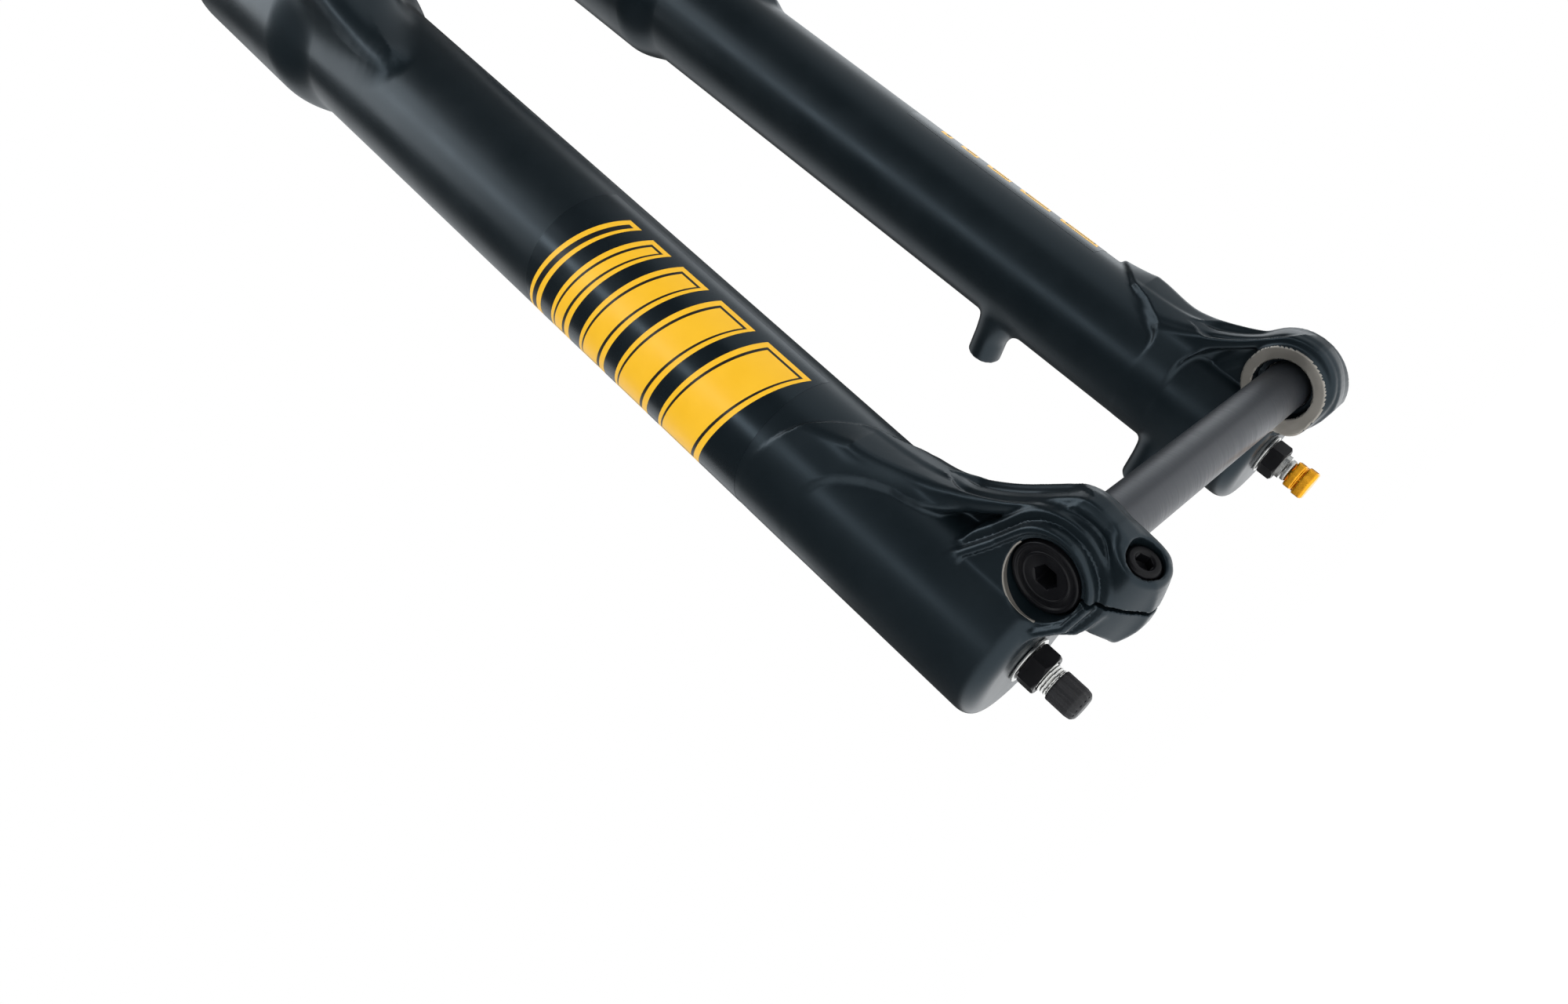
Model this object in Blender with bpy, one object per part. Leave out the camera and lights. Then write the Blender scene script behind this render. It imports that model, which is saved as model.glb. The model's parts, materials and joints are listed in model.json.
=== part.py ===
"""Single-crown suspension fork for a 29 inch mountain bike wheel, as an assembly of its real pieces.

The steerer's axis is +Z and its crown race seat is at z = 0. +X is the rider's left and -Y is
the front. Two groups make the fork: the uppers (steerer, crown, stanchions and what they hold)
and the lowers (one casting with the dropouts and the arch), which slide up by TRAVEL. Lengths
in the lowers are measured from the wheel axle's centre, where their parent empty stands.
"""
import math

import bmesh
import bpy
from mathutils import Matrix, Vector

MM = 0.001

# Driving dimensions, in millimetres
AXLE_TO_CROWN = 567.0
FORK_OFFSET = 44.0
TRAVEL = 160.0
HALF_LEG_SPACING = 66.7
LEG_BEHIND_AXLE = 29.2
HALF_HUB_WIDTH = 55.0
GAP = 0.3

# Lower legs: radii, and heights above the axle
LEG_RADIUS_BOTTOM = 21.0
LEG_RADIUS_TOP = 21.7
COLLAR_RADIUS = 25.8
COLLAR_BOTTOM = 280.0
LEG_TOP = 350.0
FOOT_BOTTOM = -5.6
FOOT_TOP = 8.0
FOOT_HOLE_RADIUS = 5.4
BORE_RADIUS = 19.2
SEAL_SEAT_RADIUS = 23.0
SEAL_SEAT_BOTTOM = 331.0

# Arch: it stands in front of the legs and clears the tyre
ARCH_FRONT = -14.0
ARCH_BACK = 3.5
ARCH_UNDERSIDE = 380.0
ARCH_TOP = 403.0

# Dropouts
DROPOUT_INNER = 56.3
DROPOUT_OUTER = 69.0
BOSS_OUTER = 71.5
BOSS_RADIUS = 14.0
HUB_RING_RADIUS = 13.6
NOSE_RADIUS = 20.5
AXLE_RADIUS = 7.5
AXLE_HEAD_RADIUS = 9.3
AXLE_HEAD_FACE = 70.6
AXLE_SHOULDER = 60.0
AXLE_END = 67.5
INSERT_START = 62.0
CLAMP_LEAN = math.radians(14.0)
SLIT_WIDTH = 1.2
PINCH_PLACE = (-61.5, -2.4, -14.1)
PINCH_TILT = math.radians(5.0)
PINCH_HEAD_SEAT = 9.0
PINCH_HEAD_LENGTH = 4.5
PINCH_SHANK_LENGTH = 17.0
PINCH_HEAD_RADIUS = 4.4
PINCH_SHANK_RADIUS = 2.6

# Brake posts on the left leg
POST_X = 55.0
POST_FACE = 61.5
POST_LOW = 23.4
POST_SPACING = 74.2
POST_RADIUS = 6.2
POST_HOLE_RADIUS = 2.6

# Stanchions and what runs in them
STANCHION_RADIUS = 18.0
STANCHION_INSIDE = 16.4
STANCHION_TOP = -8.0
ROD_RADIUS = 5.0
SEAL_HEAD_LENGTH = 16.0
CARTRIDGE_RADIUS = 14.5
CARTRIDGE_INSIDE = 13.0
BUSHING_LENGTH = 25.0

# Crown and steerer
CROWN_BOTTOM = -46.0
CROWN_TOP = -8.0
CROWN_LEG_RADIUS = 23.0
RACE_SEAT_RADIUS = 26.0
STEERER_LENGTH = 200.0
STEERER_RADIUS_BOTTOM = 20.0
STEERER_RADIUS_TOP = 14.3

# Worked out from the above
AXLE_Y = -FORK_OFFSET
AXLE_Z = -AXLE_TO_CROWN
LEG_Y = AXLE_Y + LEG_BEHIND_AXLE
STANCHION_BOTTOM = FOOT_TOP + TRAVEL + 8.0 - AXLE_TO_CROWN
SEAL_HEAD_TOP = STANCHION_BOTTOM + SEAL_HEAD_LENGTH
PISTON_BOTTOM = SEAL_HEAD_TOP + AXLE_TO_CROWN + 8.0

ROUND = 32
SMALL_ROUND = 24
HEX_ROUND = 24
SIDES = {"left": 1, "right": -1}
SIDEWAYS = (0, math.pi / 2, 0)
FORWARD = (math.pi / 2, 0, 0)
BACKWARD = (-math.pi / 2, 0, 0)

# Finishes: colour, roughness, metallic
FINISHES = {
    "lowers_paint": ((0.012, 0.017, 0.020), 0.42, 0.0),
    "crown_black": ((0.014, 0.014, 0.016), 0.38, 0.4),
    "steerer_alloy": ((0.05, 0.05, 0.055), 0.45, 0.7),
    "stanchion_coat": ((0.035, 0.034, 0.036), 0.18, 0.85),
    "black_anodised": ((0.012, 0.012, 0.013), 0.35, 0.6),
    "axle_grey": ((0.055, 0.058, 0.064), 0.42, 0.75),
    "steel": ((0.62, 0.62, 0.60), 0.28, 1.0),
    "bare_alloy": ((0.42, 0.40, 0.36), 0.5, 0.9),
    "gold_anodised": ((0.86, 0.44, 0.04), 0.3, 0.9),
    "black_plastic": ((0.010, 0.010, 0.012), 0.5, 0.0),
    "seal_rubber": ((0.012, 0.012, 0.012), 0.7, 0.0),
    "bushing_polymer": ((0.16, 0.15, 0.14), 0.6, 0.0),
    "foam": ((0.45, 0.43, 0.36), 0.95, 0.0),
}


def clear_scene():
    for obj in list(bpy.data.objects):
        bpy.data.objects.remove(obj, do_unlink=True)


def finish(name):
    """The material of that name, made once."""
    if name in bpy.data.materials:
        return bpy.data.materials[name]
    colour, roughness, metallic = FINISHES[name]
    mat = bpy.data.materials.new(name)
    mat.use_nodes = True
    shader = mat.node_tree.nodes["Principled BSDF"]
    shader.inputs["Base Color"].default_value = (*colour, 1.0)
    shader.inputs["Roughness"].default_value = roughness
    shader.inputs["Metallic"].default_value = metallic
    return mat


def group(name, location):
    """An empty that carries one group of pieces, at a point on that group's joint axis."""
    empty = bpy.data.objects.new(name, None)
    empty.location = Vector(location) * MM
    bpy.context.scene.collection.objects.link(empty)
    return empty


def piece(name, bm, finish_name, parent, location=(0, 0, 0), rotation=(0, 0, 0)):
    """A mesh object from a bmesh in millimetres, smooth shaded with its corners kept sharp."""
    bmesh.ops.remove_doubles(bm, verts=bm.verts, dist=1e-4)
    bmesh.ops.recalc_face_normals(bm, faces=bm.faces)
    bmesh.ops.scale(bm, vec=(MM, MM, MM), verts=bm.verts)
    mesh = bpy.data.meshes.new(name)
    bm.to_mesh(mesh)
    bm.free()
    mesh.materials.append(finish(finish_name))
    mesh.shade_smooth()
    mesh.set_sharp_from_angle(angle=math.radians(32))
    obj = bpy.data.objects.new(name, mesh)
    obj.location = Vector(location) * MM
    obj.rotation_euler = rotation
    obj.parent = parent
    bpy.context.scene.collection.objects.link(obj)
    return obj


def lathe(outline, steps=SMALL_ROUND):
    """A body of revolution about Z from (radius, height) points. An outline that starts and ends
    on the axis stays open there; any other is closed into a ring."""
    bm = bmesh.new()
    verts = [bm.verts.new((radius, 0, height)) for radius, height in outline]
    edges = [bm.edges.new(pair) for pair in zip(verts, verts[1:])]
    if outline[0][0] > 0:
        edges.append(bm.edges.new((verts[-1], verts[0])))
    bmesh.ops.spin(bm, geom=verts + edges, cent=(0, 0, 0), axis=(0, 0, 1),
                   angle=math.tau, steps=steps, use_merge=True)
    bmesh.ops.remove_doubles(bm, verts=bm.verts, dist=1e-4)
    return bm


def drill(outline, steps=SMALL_ROUND):
    """A turned cutter. Its facets start part of a step round, so that none of its corners lands
    on an edge of the round body that it cuts."""
    bm = lathe(outline, steps)
    bmesh.ops.rotate(bm, verts=bm.verts, cent=(0, 0, 0), matrix=Matrix.Rotation(1.1 / steps, 3, "Z"))
    return bm


def extrude(points, direction):
    """A prism from a flat outline of 3D points."""
    bm = bmesh.new()
    face = bm.faces.new([bm.verts.new(point) for point in points])
    moved = bmesh.ops.extrude_face_region(bm, geom=[face])["geom"]
    bmesh.ops.translate(bm, vec=direction, verts=[v for v in moved if isinstance(v, bmesh.types.BMVert)])
    return bm


def arc(centre, radius, start, end, count):
    """Points along an arc, angles in degrees from the first axis towards the second."""
    angles = [math.radians(start + (end - start) * i / (count - 1)) for i in range(count)]
    return [(centre[0] + radius * math.cos(a), centre[1] + radius * math.sin(a)) for a in angles]


def flatten_to_hex(bm, apothem):
    """Pulls everything outside a hexagon onto its six flats."""
    for vert in bm.verts:
        radius = math.hypot(vert.co.x, vert.co.y)
        turn = math.degrees(math.atan2(vert.co.y, vert.co.x)) % 60 - 30
        limit = apothem / math.cos(math.radians(turn))
        if radius > limit:
            vert.co.xy *= limit / radius
    return bm


def flute(bm, count, depth, beyond):
    """Sinks evenly spaced grip flutes into everything further out than a radius."""
    for vert in bm.verts:
        radius = math.hypot(vert.co.x, vert.co.y)
        if radius > beyond:
            wave = 0.5 - 0.5 * math.cos(count * math.atan2(vert.co.y, vert.co.x))
            vert.co.xy *= (radius - depth * wave) / radius
    return bm


def boolean(target, tool, operation):
    """Adds a Boolean modifier and leaves its tool as a hidden guide."""
    tool.hide_render = True
    tool.display_type = "WIRE"
    modifier = target.modifiers.new(tool.name, "BOOLEAN")
    modifier.operation = operation
    modifier.solver = "EXACT"
    modifier.object = tool


def cut_hex_socket(target, mouth, depth, apothem, parent, location, rotation):
    """A hex key socket sunk down from a mouth height on the piece's own axis."""
    corner = apothem / math.cos(math.radians(30))
    low, high = sorted((mouth, mouth + depth))
    bm = drill([(0, low), (corner, low), (corner, high), (0, high)], 6)
    boolean(target, piece(target.name + "_socket", bm, "steel", parent, location, rotation), "DIFFERENCE")


def leg_place(side, height=0.0):
    """A point on a leg's axis, measured from the axle's centre."""
    return (SIDES[side] * HALF_LEG_SPACING, LEG_BEHIND_AXLE, height)


def stanchion_place(side):
    """A point on a stanchion's axis at the height of the crown race seat."""
    return (SIDES[side] * HALF_LEG_SPACING, LEG_Y, 0.0)


def dropout_outline(side):
    """The dropout's side view as (y, z): a curved arm from the leg's front round the axle. The
    right one goes on into two clamp ears below the axle."""
    arm = [(29, 62), (8.6, 60), (5.5, 48), (1, 36), (-6, 25), (-13.5, 16.5)]
    under = [(14, -8), (19, -3), (26, -1)]
    if side == "left":
        nose = arc((0, 0), NOSE_RADIUS, 150, 235, 8)
        return arm + nose + [(-4, -16.5), (6, -13.5)] + under + [(29, 0)]
    nose = arc((0, 0), NOSE_RADIUS, 150, 200, 5)
    ears = [(-18.3, -12), (-15.5, -18.5), (-9, -22.6), (2, -23), (8.5, -19.5), (11.5, -13)]
    return arm + nose + ears + under + [(29, 0)]


def arch_outline():
    """The arch's front view as (x, z)."""
    outer = [(22, ARCH_TOP - 2), (46, 391), (66, 371), (80, 345), (84, 318), (80, 298), (66.7, 290)]
    inner = [(50, 298), (45, 318), (41, 342), (32, 362), (18, 375)]
    right = outer + inner
    left = [(-x, z) for x, z in reversed(right)]
    return [(0, ARCH_TOP), *right, (0, ARCH_UNDERSIDE), *left]


def make_lower_casting(lowers):
    """Both lower legs, the arch, the dropouts and the brake posts: one magnesium casting."""
    outline = [(x, ARCH_FRONT, z) for x, z in arch_outline()]
    arch = extrude(outline, (0, ARCH_BACK - ARCH_FRONT, 0))
    casting = piece("lower_casting", arch, "lowers_paint", lowers)

    def add(name, bm, location=(0, 0, 0), rotation=(0, 0, 0)):
        boolean(casting, piece(name, bm, "lowers_paint", lowers, location, rotation), "UNION")

    def cut(name, bm, location=(0, 0, 0), rotation=(0, 0, 0)):
        boolean(casting, piece(name, bm, "steel", lowers, location, rotation), "DIFFERENCE")

    leg = [(0, FOOT_BOTTOM), (14.5, FOOT_BOTTOM), (19, FOOT_BOTTOM + 2), (LEG_RADIUS_BOTTOM, 1.5),
           (LEG_RADIUS_TOP, COLLAR_BOTTOM), (COLLAR_RADIUS, COLLAR_BOTTOM + 12),
           (COLLAR_RADIUS, LEG_TOP - 2), (COLLAR_RADIUS - 1.4, LEG_TOP), (0, LEG_TOP)]
    bore = [(0, -20), (FOOT_HOLE_RADIUS, -20), (FOOT_HOLE_RADIUS, FOOT_TOP), (BORE_RADIUS, FOOT_TOP),
            (BORE_RADIUS, SEAL_SEAT_BOTTOM), (SEAL_SEAT_RADIUS, SEAL_SEAT_BOTTOM),
            (SEAL_SEAT_RADIUS, LEG_TOP + 10), (0, LEG_TOP + 10)]
    for side, sign in SIDES.items():
        add("leg_" + side, lathe(leg, ROUND), leg_place(side))
        root = [(sign * x, 2.0, z) for x, z in ((50, 300), (50, 342), (82, 342), (82, 300))]
        add("arch_root_" + side, extrude(root, (0, 18, 0)))
        plate = [(sign * DROPOUT_INNER, y, z) for y, z in dropout_outline(side)]
        add("dropout_" + side, extrude(plate, (sign * (DROPOUT_OUTER - DROPOUT_INNER), 0, 0)))
        boss = [(0, sign * BOSS_OUTER), (BOSS_RADIUS, sign * BOSS_OUTER), (BOSS_RADIUS, sign * 62),
                (HUB_RING_RADIUS, sign * 62), (HUB_RING_RADIUS, sign * HALF_HUB_WIDTH),
                (0, sign * HALF_HUB_WIDTH)]
        add("axle_boss_" + side, lathe(boss), rotation=SIDEWAYS)
    for name, height in (("low", POST_LOW), ("high", POST_LOW + POST_SPACING)):
        post = [(0, 34), (9.5, 34), (8.5, 48), (POST_RADIUS, 56), (POST_RADIUS, POST_FACE),
                (0, POST_FACE)]
        add("brake_post_" + name, lathe(post), (POST_X, 0, height), BACKWARD)
        hole = [(0, POST_FACE - 13), (POST_HOLE_RADIUS, POST_FACE - 13), (POST_HOLE_RADIUS, 80), (0, 80)]
        cut("brake_post_hole_" + name, drill(hole, 16), (POST_X, 0, height), BACKWARD)
    for side in SIDES:
        cut("bore_" + side, drill(bore, ROUND), leg_place(side))
    wide, narrow = AXLE_HEAD_RADIUS + 0.5, AXLE_RADIUS + GAP
    axle_bore = [(0, -90), (wide, -90), (wide, -AXLE_SHOULDER), (narrow, -AXLE_SHOULDER),
                 (narrow, INSERT_START), (wide, INSERT_START), (wide, 90), (0, 90)]
    cut("axle_bore", drill(axle_bore), rotation=SIDEWAYS)
    half = SLIT_WIDTH / 2
    slit = [(-50, -half, -6), (-50, half, -6), (-50, half, -40), (-50, -half, -40)]
    cut("clamp_slit", extrude(slit, (-30, 0, 0)), rotation=(-CLAMP_LEAN, 0, 0))
    place, turn = pinch_bolt_frame()
    seat, clearance = PINCH_HEAD_SEAT, PINCH_SHANK_RADIUS + GAP
    bottom = seat - PINCH_SHANK_LENGTH - 1
    counterbore = PINCH_HEAD_RADIUS + 0.5
    hole = [(0, bottom), (clearance, bottom), (clearance, seat), (counterbore, seat),
            (counterbore, 30), (0, 30)]
    cut("pinch_bolt_hole", drill(hole, 16), place, turn)
    cut("hose_screw_hole", hose_screw_clearance(), hose_screw_place(), FORWARD)
    return casting


def pinch_bolt_frame():
    """Where the pinch bolt crosses the clamp's slit, and the turn that takes +Z onto its axis."""
    return PINCH_PLACE, (math.pi / 2 + PINCH_TILT, 0, 0)


def guide_place():
    """The middle of the hose guide's foot, on the front face of the arch above the left leg."""
    return (66.0, ARCH_FRONT, 332.0)


def hose_screw_place():
    """Where the guide's screw enters the arch, beside the hose."""
    x, front, z = guide_place()
    return (x - 3.4, front, z)


def make_axle_and_clamp(lowers, axle_group):
    face, shoulder = -AXLE_HEAD_FACE, -AXLE_SHOULDER + GAP
    outline = [(0, face), (AXLE_HEAD_RADIUS - 0.7, face), (AXLE_HEAD_RADIUS, face + 0.7),
               (AXLE_HEAD_RADIUS, shoulder - 0.6), (AXLE_RADIUS, shoulder - 0.6),
               (AXLE_RADIUS, AXLE_END - 1), (AXLE_RADIUS - 1, AXLE_END), (5.2, AXLE_END), (5.2, -48),
               (0, -48)]
    axle = piece("axle", lathe(outline, ROUND), "axle_grey", axle_group, rotation=SIDEWAYS)
    cut_hex_socket(axle, face - 1, 8.0, 3.0, axle_group, (0, 0, 0), SIDEWAYS)
    insert_in, insert_out = AXLE_RADIUS + GAP, AXLE_HEAD_RADIUS + 0.2
    insert = [(insert_in, INSERT_START + GAP), (insert_out, INSERT_START + GAP),
              (insert_out, BOSS_OUTER - 0.8), (insert_in, BOSS_OUTER - 0.8)]
    piece("axle_thread_insert", lathe(insert), "bare_alloy", lowers, rotation=SIDEWAYS)
    place, turn = pinch_bolt_frame()
    under = PINCH_HEAD_SEAT + GAP
    top = under + PINCH_HEAD_LENGTH
    tip = PINCH_HEAD_SEAT - PINCH_SHANK_LENGTH
    bolt = [(0, tip), (PINCH_SHANK_RADIUS, tip), (PINCH_SHANK_RADIUS, under), (PINCH_HEAD_RADIUS, under),
            (PINCH_HEAD_RADIUS, top - 0.4), (PINCH_HEAD_RADIUS - 0.4, top), (0, top)]
    pinch = piece("pinch_bolt", lathe(bolt), "black_anodised", lowers, place, turn)
    cut_hex_socket(pinch, top + 1, -4.0, 2.0, lowers, place, turn)


def make_foot_hardware(lowers):
    """What the rods are bolted down with under each foot, and the two adjusters there."""
    for side in SIDES:
        washer = [(5.2, FOOT_BOTTOM - GAP), (6.9, FOOT_BOTTOM - GAP), (6.9, FOOT_BOTTOM - 1),
                  (5.2, FOOT_BOTTOM - 1)]
        piece("crush_washer_" + side, lathe(washer), "steel", lowers, leg_place(side))
        top, bottom = FOOT_BOTTOM - 1 - GAP, -12.2
        nut = [(4.5, top), (6.3, top), (6.3, bottom + 0.8), (5.4, bottom), (4.5, bottom)]
        bm = flatten_to_hex(lathe(nut, HEX_ROUND), 5.5)
        piece("foot_nut_" + side, bm, "black_anodised", lowers, leg_place(side))
    cap = [(0, -22.2), (3.6, -22.2), (3.6, -15.1), (4.5, -15.1), (4.5, -21.8), (4.1, -23.2),
           (3.0, -24.0), (0, -24.0)]
    bm = flute(lathe(cap, ROUND), 8, 0.35, 4.0)
    piece("valve_cap_bottom", bm, "black_plastic", lowers, leg_place("right"))
    shaft = [(0, -21.5), (1.3, -21.5), (1.3, -16.0), (3.8, -16.0), (3.8, -14.1), (1.3, -14.1),
             (1.3, 12), (0, 12)]
    piece("rebound_shaft", lathe(shaft), "steel", lowers, leg_place("left"))
    knob = [(0, -21.8), (1.6, -21.8), (1.6, -16.3), (5.5, -16.3), (5.5, -22.8), (4.6, -23.8), (0, -23.8)]
    fluted = flute(lathe(knob, ROUND), 8, 0.7, 4.5)
    piece("rebound_knob", fluted, "gold_anodised", lowers, leg_place("left"))


def make_springs_and_rods(lowers):
    """The pieces inside the legs that stand on the feet and move with the lowers."""
    top = PISTON_BOTTOM + 12
    stud = [(4.15, -3), (ROD_RADIUS, -3), (ROD_RADIUS, top), (1.6, top)]
    air_shaft = [(1.6, -20.5), (3.3, -20.5), (3.3, -14.8), (4.15, -14.8), *stud]
    piece("air_shaft", lathe(air_shaft), "steel", lowers, leg_place("right"))
    damper_rod = [(1.6, -13.8), (4.15, -13.8), *stud]
    piece("damper_rod", lathe(damper_rod), "steel", lowers, leg_place("left"))
    for name, side, radius in (("air_piston", "right", STANCHION_INSIDE - GAP),
                               ("damper_piston", "left", CARTRIDGE_INSIDE - GAP)):
        hole = ROD_RADIUS + GAP
        groove = radius - 1.5
        outline = [(hole, PISTON_BOTTOM), (radius, PISTON_BOTTOM), (radius, PISTON_BOTTOM + 3),
                   (groove, PISTON_BOTTOM + 3), (groove, PISTON_BOTTOM + 6), (radius, PISTON_BOTTOM + 6),
                   (radius, PISTON_BOTTOM + 9), (hole, PISTON_BOTTOM + 9)]
        piece(name, lathe(outline), "black_anodised", lowers, leg_place(side))
        bumper = [(hole, PISTON_BOTTOM - 7.5), (9, PISTON_BOTTOM - 7.5), (9, PISTON_BOTTOM - GAP),
                  (hole, PISTON_BOTTOM - GAP)]
        piece("top_out_bumper_" + side, lathe(bumper), "seal_rubber", lowers, leg_place(side))


def make_bushings_and_seals(lowers):
    inside = STANCHION_RADIUS + GAP
    shell = BORE_RADIUS - GAP
    low = STANCHION_BOTTOM + AXLE_TO_CROWN + 4
    high = SEAL_SEAT_BOTTOM - BUSHING_LENGTH
    for side in SIDES:
        for name, bottom in (("bushing_lower_", low), ("bushing_upper_", high)):
            top = bottom + BUSHING_LENGTH
            outline = [(inside, bottom), (shell, bottom), (shell, top), (inside, top)]
            piece(name + side, lathe(outline), "bushing_polymer", lowers, leg_place(side))
        bottom, top, outside = SEAL_SEAT_BOTTOM + GAP, SEAL_SEAT_BOTTOM + 6.5, SEAL_SEAT_RADIUS - 0.4
        foam = [(inside + 0.2, bottom), (outside, bottom), (outside, top), (inside + 0.2, top)]
        piece("foam_ring_" + side, lathe(foam), "foam", lowers, leg_place(side))
        wiper = [(inside, top + GAP), (outside, top + GAP), (outside, LEG_TOP + GAP),
                 (24.4, LEG_TOP + GAP),
                 (24.4, LEG_TOP + 3), (23.4, LEG_TOP + 4), (20.4, LEG_TOP + 4.6), (19.2, LEG_TOP + 8),
                 (inside, LEG_TOP + 8)]
        piece("wiper_seal_" + side, lathe(wiper, ROUND), "seal_rubber", lowers, leg_place(side))


def hose_screw_clearance():
    return drill([(0, -9), (1.5, -9), (1.5, 9), (0, 9)], 12)


def make_hose_guide(lowers):
    """The clip that holds the front brake's hose on the left side of the arch, and its screw."""
    x, front, z = guide_place()
    back = front - GAP
    foot = [(x + dx, back, z + dz) for dx, dz in ((-6, -8), (6, -8), (6, 8), (-6, 8))]
    guide = piece("hose_guide", extrude(foot, (0, -5.0, 0)), "black_plastic", lowers)
    channel = drill([(0, -12), (2.7, -12), (2.7, 12), (0, 12)], 16)
    cutter = piece("hose_channel", channel, "steel", lowers, (x + 2.6, front - 4.6, z))
    boolean(guide, cutter, "DIFFERENCE")
    place = hose_screw_place()
    bore = piece("hose_guide_bore", hose_screw_clearance(), "steel", lowers, place, FORWARD)
    boolean(guide, bore, "DIFFERENCE")
    head = 5.0 + 2 * GAP
    screw = [(0, -7), (1.2, -7), (1.2, head), (2.3, head), (2.3, head + 1.2), (1.6, head + 1.8),
             (0, head + 1.8)]
    piece("hose_guide_screw", lathe(screw, 16), "black_anodised", lowers, place, FORWARD)


def make_lowers(lowers, axle_group):
    make_lower_casting(lowers)
    make_axle_and_clamp(lowers, axle_group)
    make_foot_hardware(lowers)
    make_springs_and_rods(lowers)
    make_bushings_and_seals(lowers)


def make_crown(uppers):
    """The forged crown: two stanchion clamps joined by a bridge that is arched underneath to
    clear the tyre, with the crown race seat on top of its middle."""
    right = arc((-HALF_LEG_SPACING, LEG_Y), CROWN_LEG_RADIUS, 100, 270, 12)
    left = arc((HALF_LEG_SPACING, LEG_Y), CROWN_LEG_RADIUS, -90, 80, 12)
    back = arc((0, 0), RACE_SEAT_RADIUS + 1, 65, 115, 6)
    outline = right + [(-28, -31), (28, -31)] + left + back
    body = extrude([(x, y, CROWN_BOTTOM) for x, y in outline], (0, 0, CROWN_TOP - CROWN_BOTTOM))
    crown = piece("crown", body, "crown_black", uppers)
    seat = [(0, CROWN_TOP - 14), (RACE_SEAT_RADIUS, CROWN_TOP - 14), (RACE_SEAT_RADIUS, 0), (0, 0)]
    boolean(crown, piece("race_seat_boss", lathe(seat, ROUND), "crown_black", uppers), "UNION")
    rise, half_span = 20.0, 41.0
    radius = (half_span ** 2 + rise ** 2) / (2 * rise)
    vault = drill([(0, -60), (radius, -60), (radius, 60), (0, 60)], 64)
    centre = (0, 0, CROWN_BOTTOM + rise - radius)
    boolean(crown, piece("crown_vault", vault, "steel", uppers, centre, FORWARD), "DIFFERENCE")
    radius = STEERER_RADIUS_BOTTOM + GAP
    hole = drill([(0, -60), (radius, -60), (radius, 20), (0, 20)], ROUND)
    boolean(crown, piece("steerer_bore", hole, "steel", uppers), "DIFFERENCE")
    radius = STANCHION_RADIUS + GAP
    for side in SIDES:
        hole = drill([(0, -60), (radius, -60), (radius, 20), (0, 20)], ROUND)
        bore = piece("clamp_bore_" + side, hole, "steel", uppers, stanchion_place(side))
        boolean(crown, bore, "DIFFERENCE")


def make_steerer(uppers):
    """Tapered from 1.5 inch at the crown to 1 1/8 inch under the stem."""
    bottom, wall = CROWN_BOTTOM + 20.5, 2.1
    outline = [(STEERER_RADIUS_BOTTOM - 3.6, bottom), (STEERER_RADIUS_BOTTOM, bottom),
               (STEERER_RADIUS_BOTTOM, 12), (STEERER_RADIUS_TOP, 85),
               (STEERER_RADIUS_TOP, STEERER_LENGTH),
               (STEERER_RADIUS_TOP - wall, STEERER_LENGTH), (STEERER_RADIUS_TOP - wall, 80),
               (STEERER_RADIUS_BOTTOM - 3.6, 5)]
    piece("steerer_tube", lathe(outline, ROUND), "steerer_alloy", uppers)


def make_stanchions(uppers):
    for side in SIDES:
        place = stanchion_place(side)
        tube = [(STANCHION_INSIDE, STANCHION_BOTTOM), (STANCHION_RADIUS, STANCHION_BOTTOM),
                (STANCHION_RADIUS, STANCHION_TOP), (STANCHION_INSIDE, STANCHION_TOP)]
        piece("stanchion_" + side, lathe(tube, ROUND), "stanchion_coat", uppers, place)
        hole, outside = ROD_RADIUS + GAP, STANCHION_INSIDE - GAP
        head = [(hole, STANCHION_BOTTOM), (outside, STANCHION_BOTTOM), (outside, SEAL_HEAD_TOP),
                (hole, SEAL_HEAD_TOP)]
        name = {"left": "damper_seal_head", "right": "air_seal_head"}[side]
        piece(name, lathe(head), "black_anodised", uppers, place)


def make_damper_top(uppers):
    """The left stanchion's cap, cartridge and compression valve, with the two dials on top."""
    place = stanchion_place("left")
    thread, flange, shelf = STANCHION_INSIDE - GAP, 17.7, -3.5
    cap = [(3.3, -30), (thread, -30), (thread, STANCHION_TOP + GAP), (flange, STANCHION_TOP + GAP),
           (flange, shelf), (6.0, shelf), (6.0, 4.2), (3.3, 4.2)]
    piece("damper_top_cap", lathe(cap), "black_anodised", uppers, place)
    bottom = SEAL_HEAD_TOP + GAP
    tube = [(CARTRIDGE_INSIDE, bottom), (CARTRIDGE_RADIUS, bottom), (CARTRIDGE_RADIUS, -30 - GAP),
            (CARTRIDGE_INSIDE, -30 - GAP)]
    piece("damper_cartridge", lathe(tube), "bare_alloy", uppers, place)
    radius = CARTRIDGE_INSIDE - GAP
    valve = [(0, -60), (radius, -60), (radius, -42), (5, -40), (5, -30 - GAP), (0, -30 - GAP)]
    piece("compression_valve", lathe(valve), "bare_alloy", uppers, place)
    ring = [(6.0 + GAP, shelf + GAP), (13.5, shelf + GAP), (13.5, 2.6), (12.3, 3.8), (6.0 + GAP, 3.8)]
    piece("high_speed_dial", flute(lathe(ring, ROUND), 8, 0.8, 11.0), "gold_anodised", uppers, place)
    knob = [(0, -15), (3.0, -15), (3.0, 4.5), (8.6, 4.5), (8.6, 8.6), (7.6, 9.6), (0, 9.6)]
    piece("low_speed_dial", flute(lathe(knob, ROUND), 8, 0.7, 7.0), "black_anodised", uppers, place)


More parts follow.
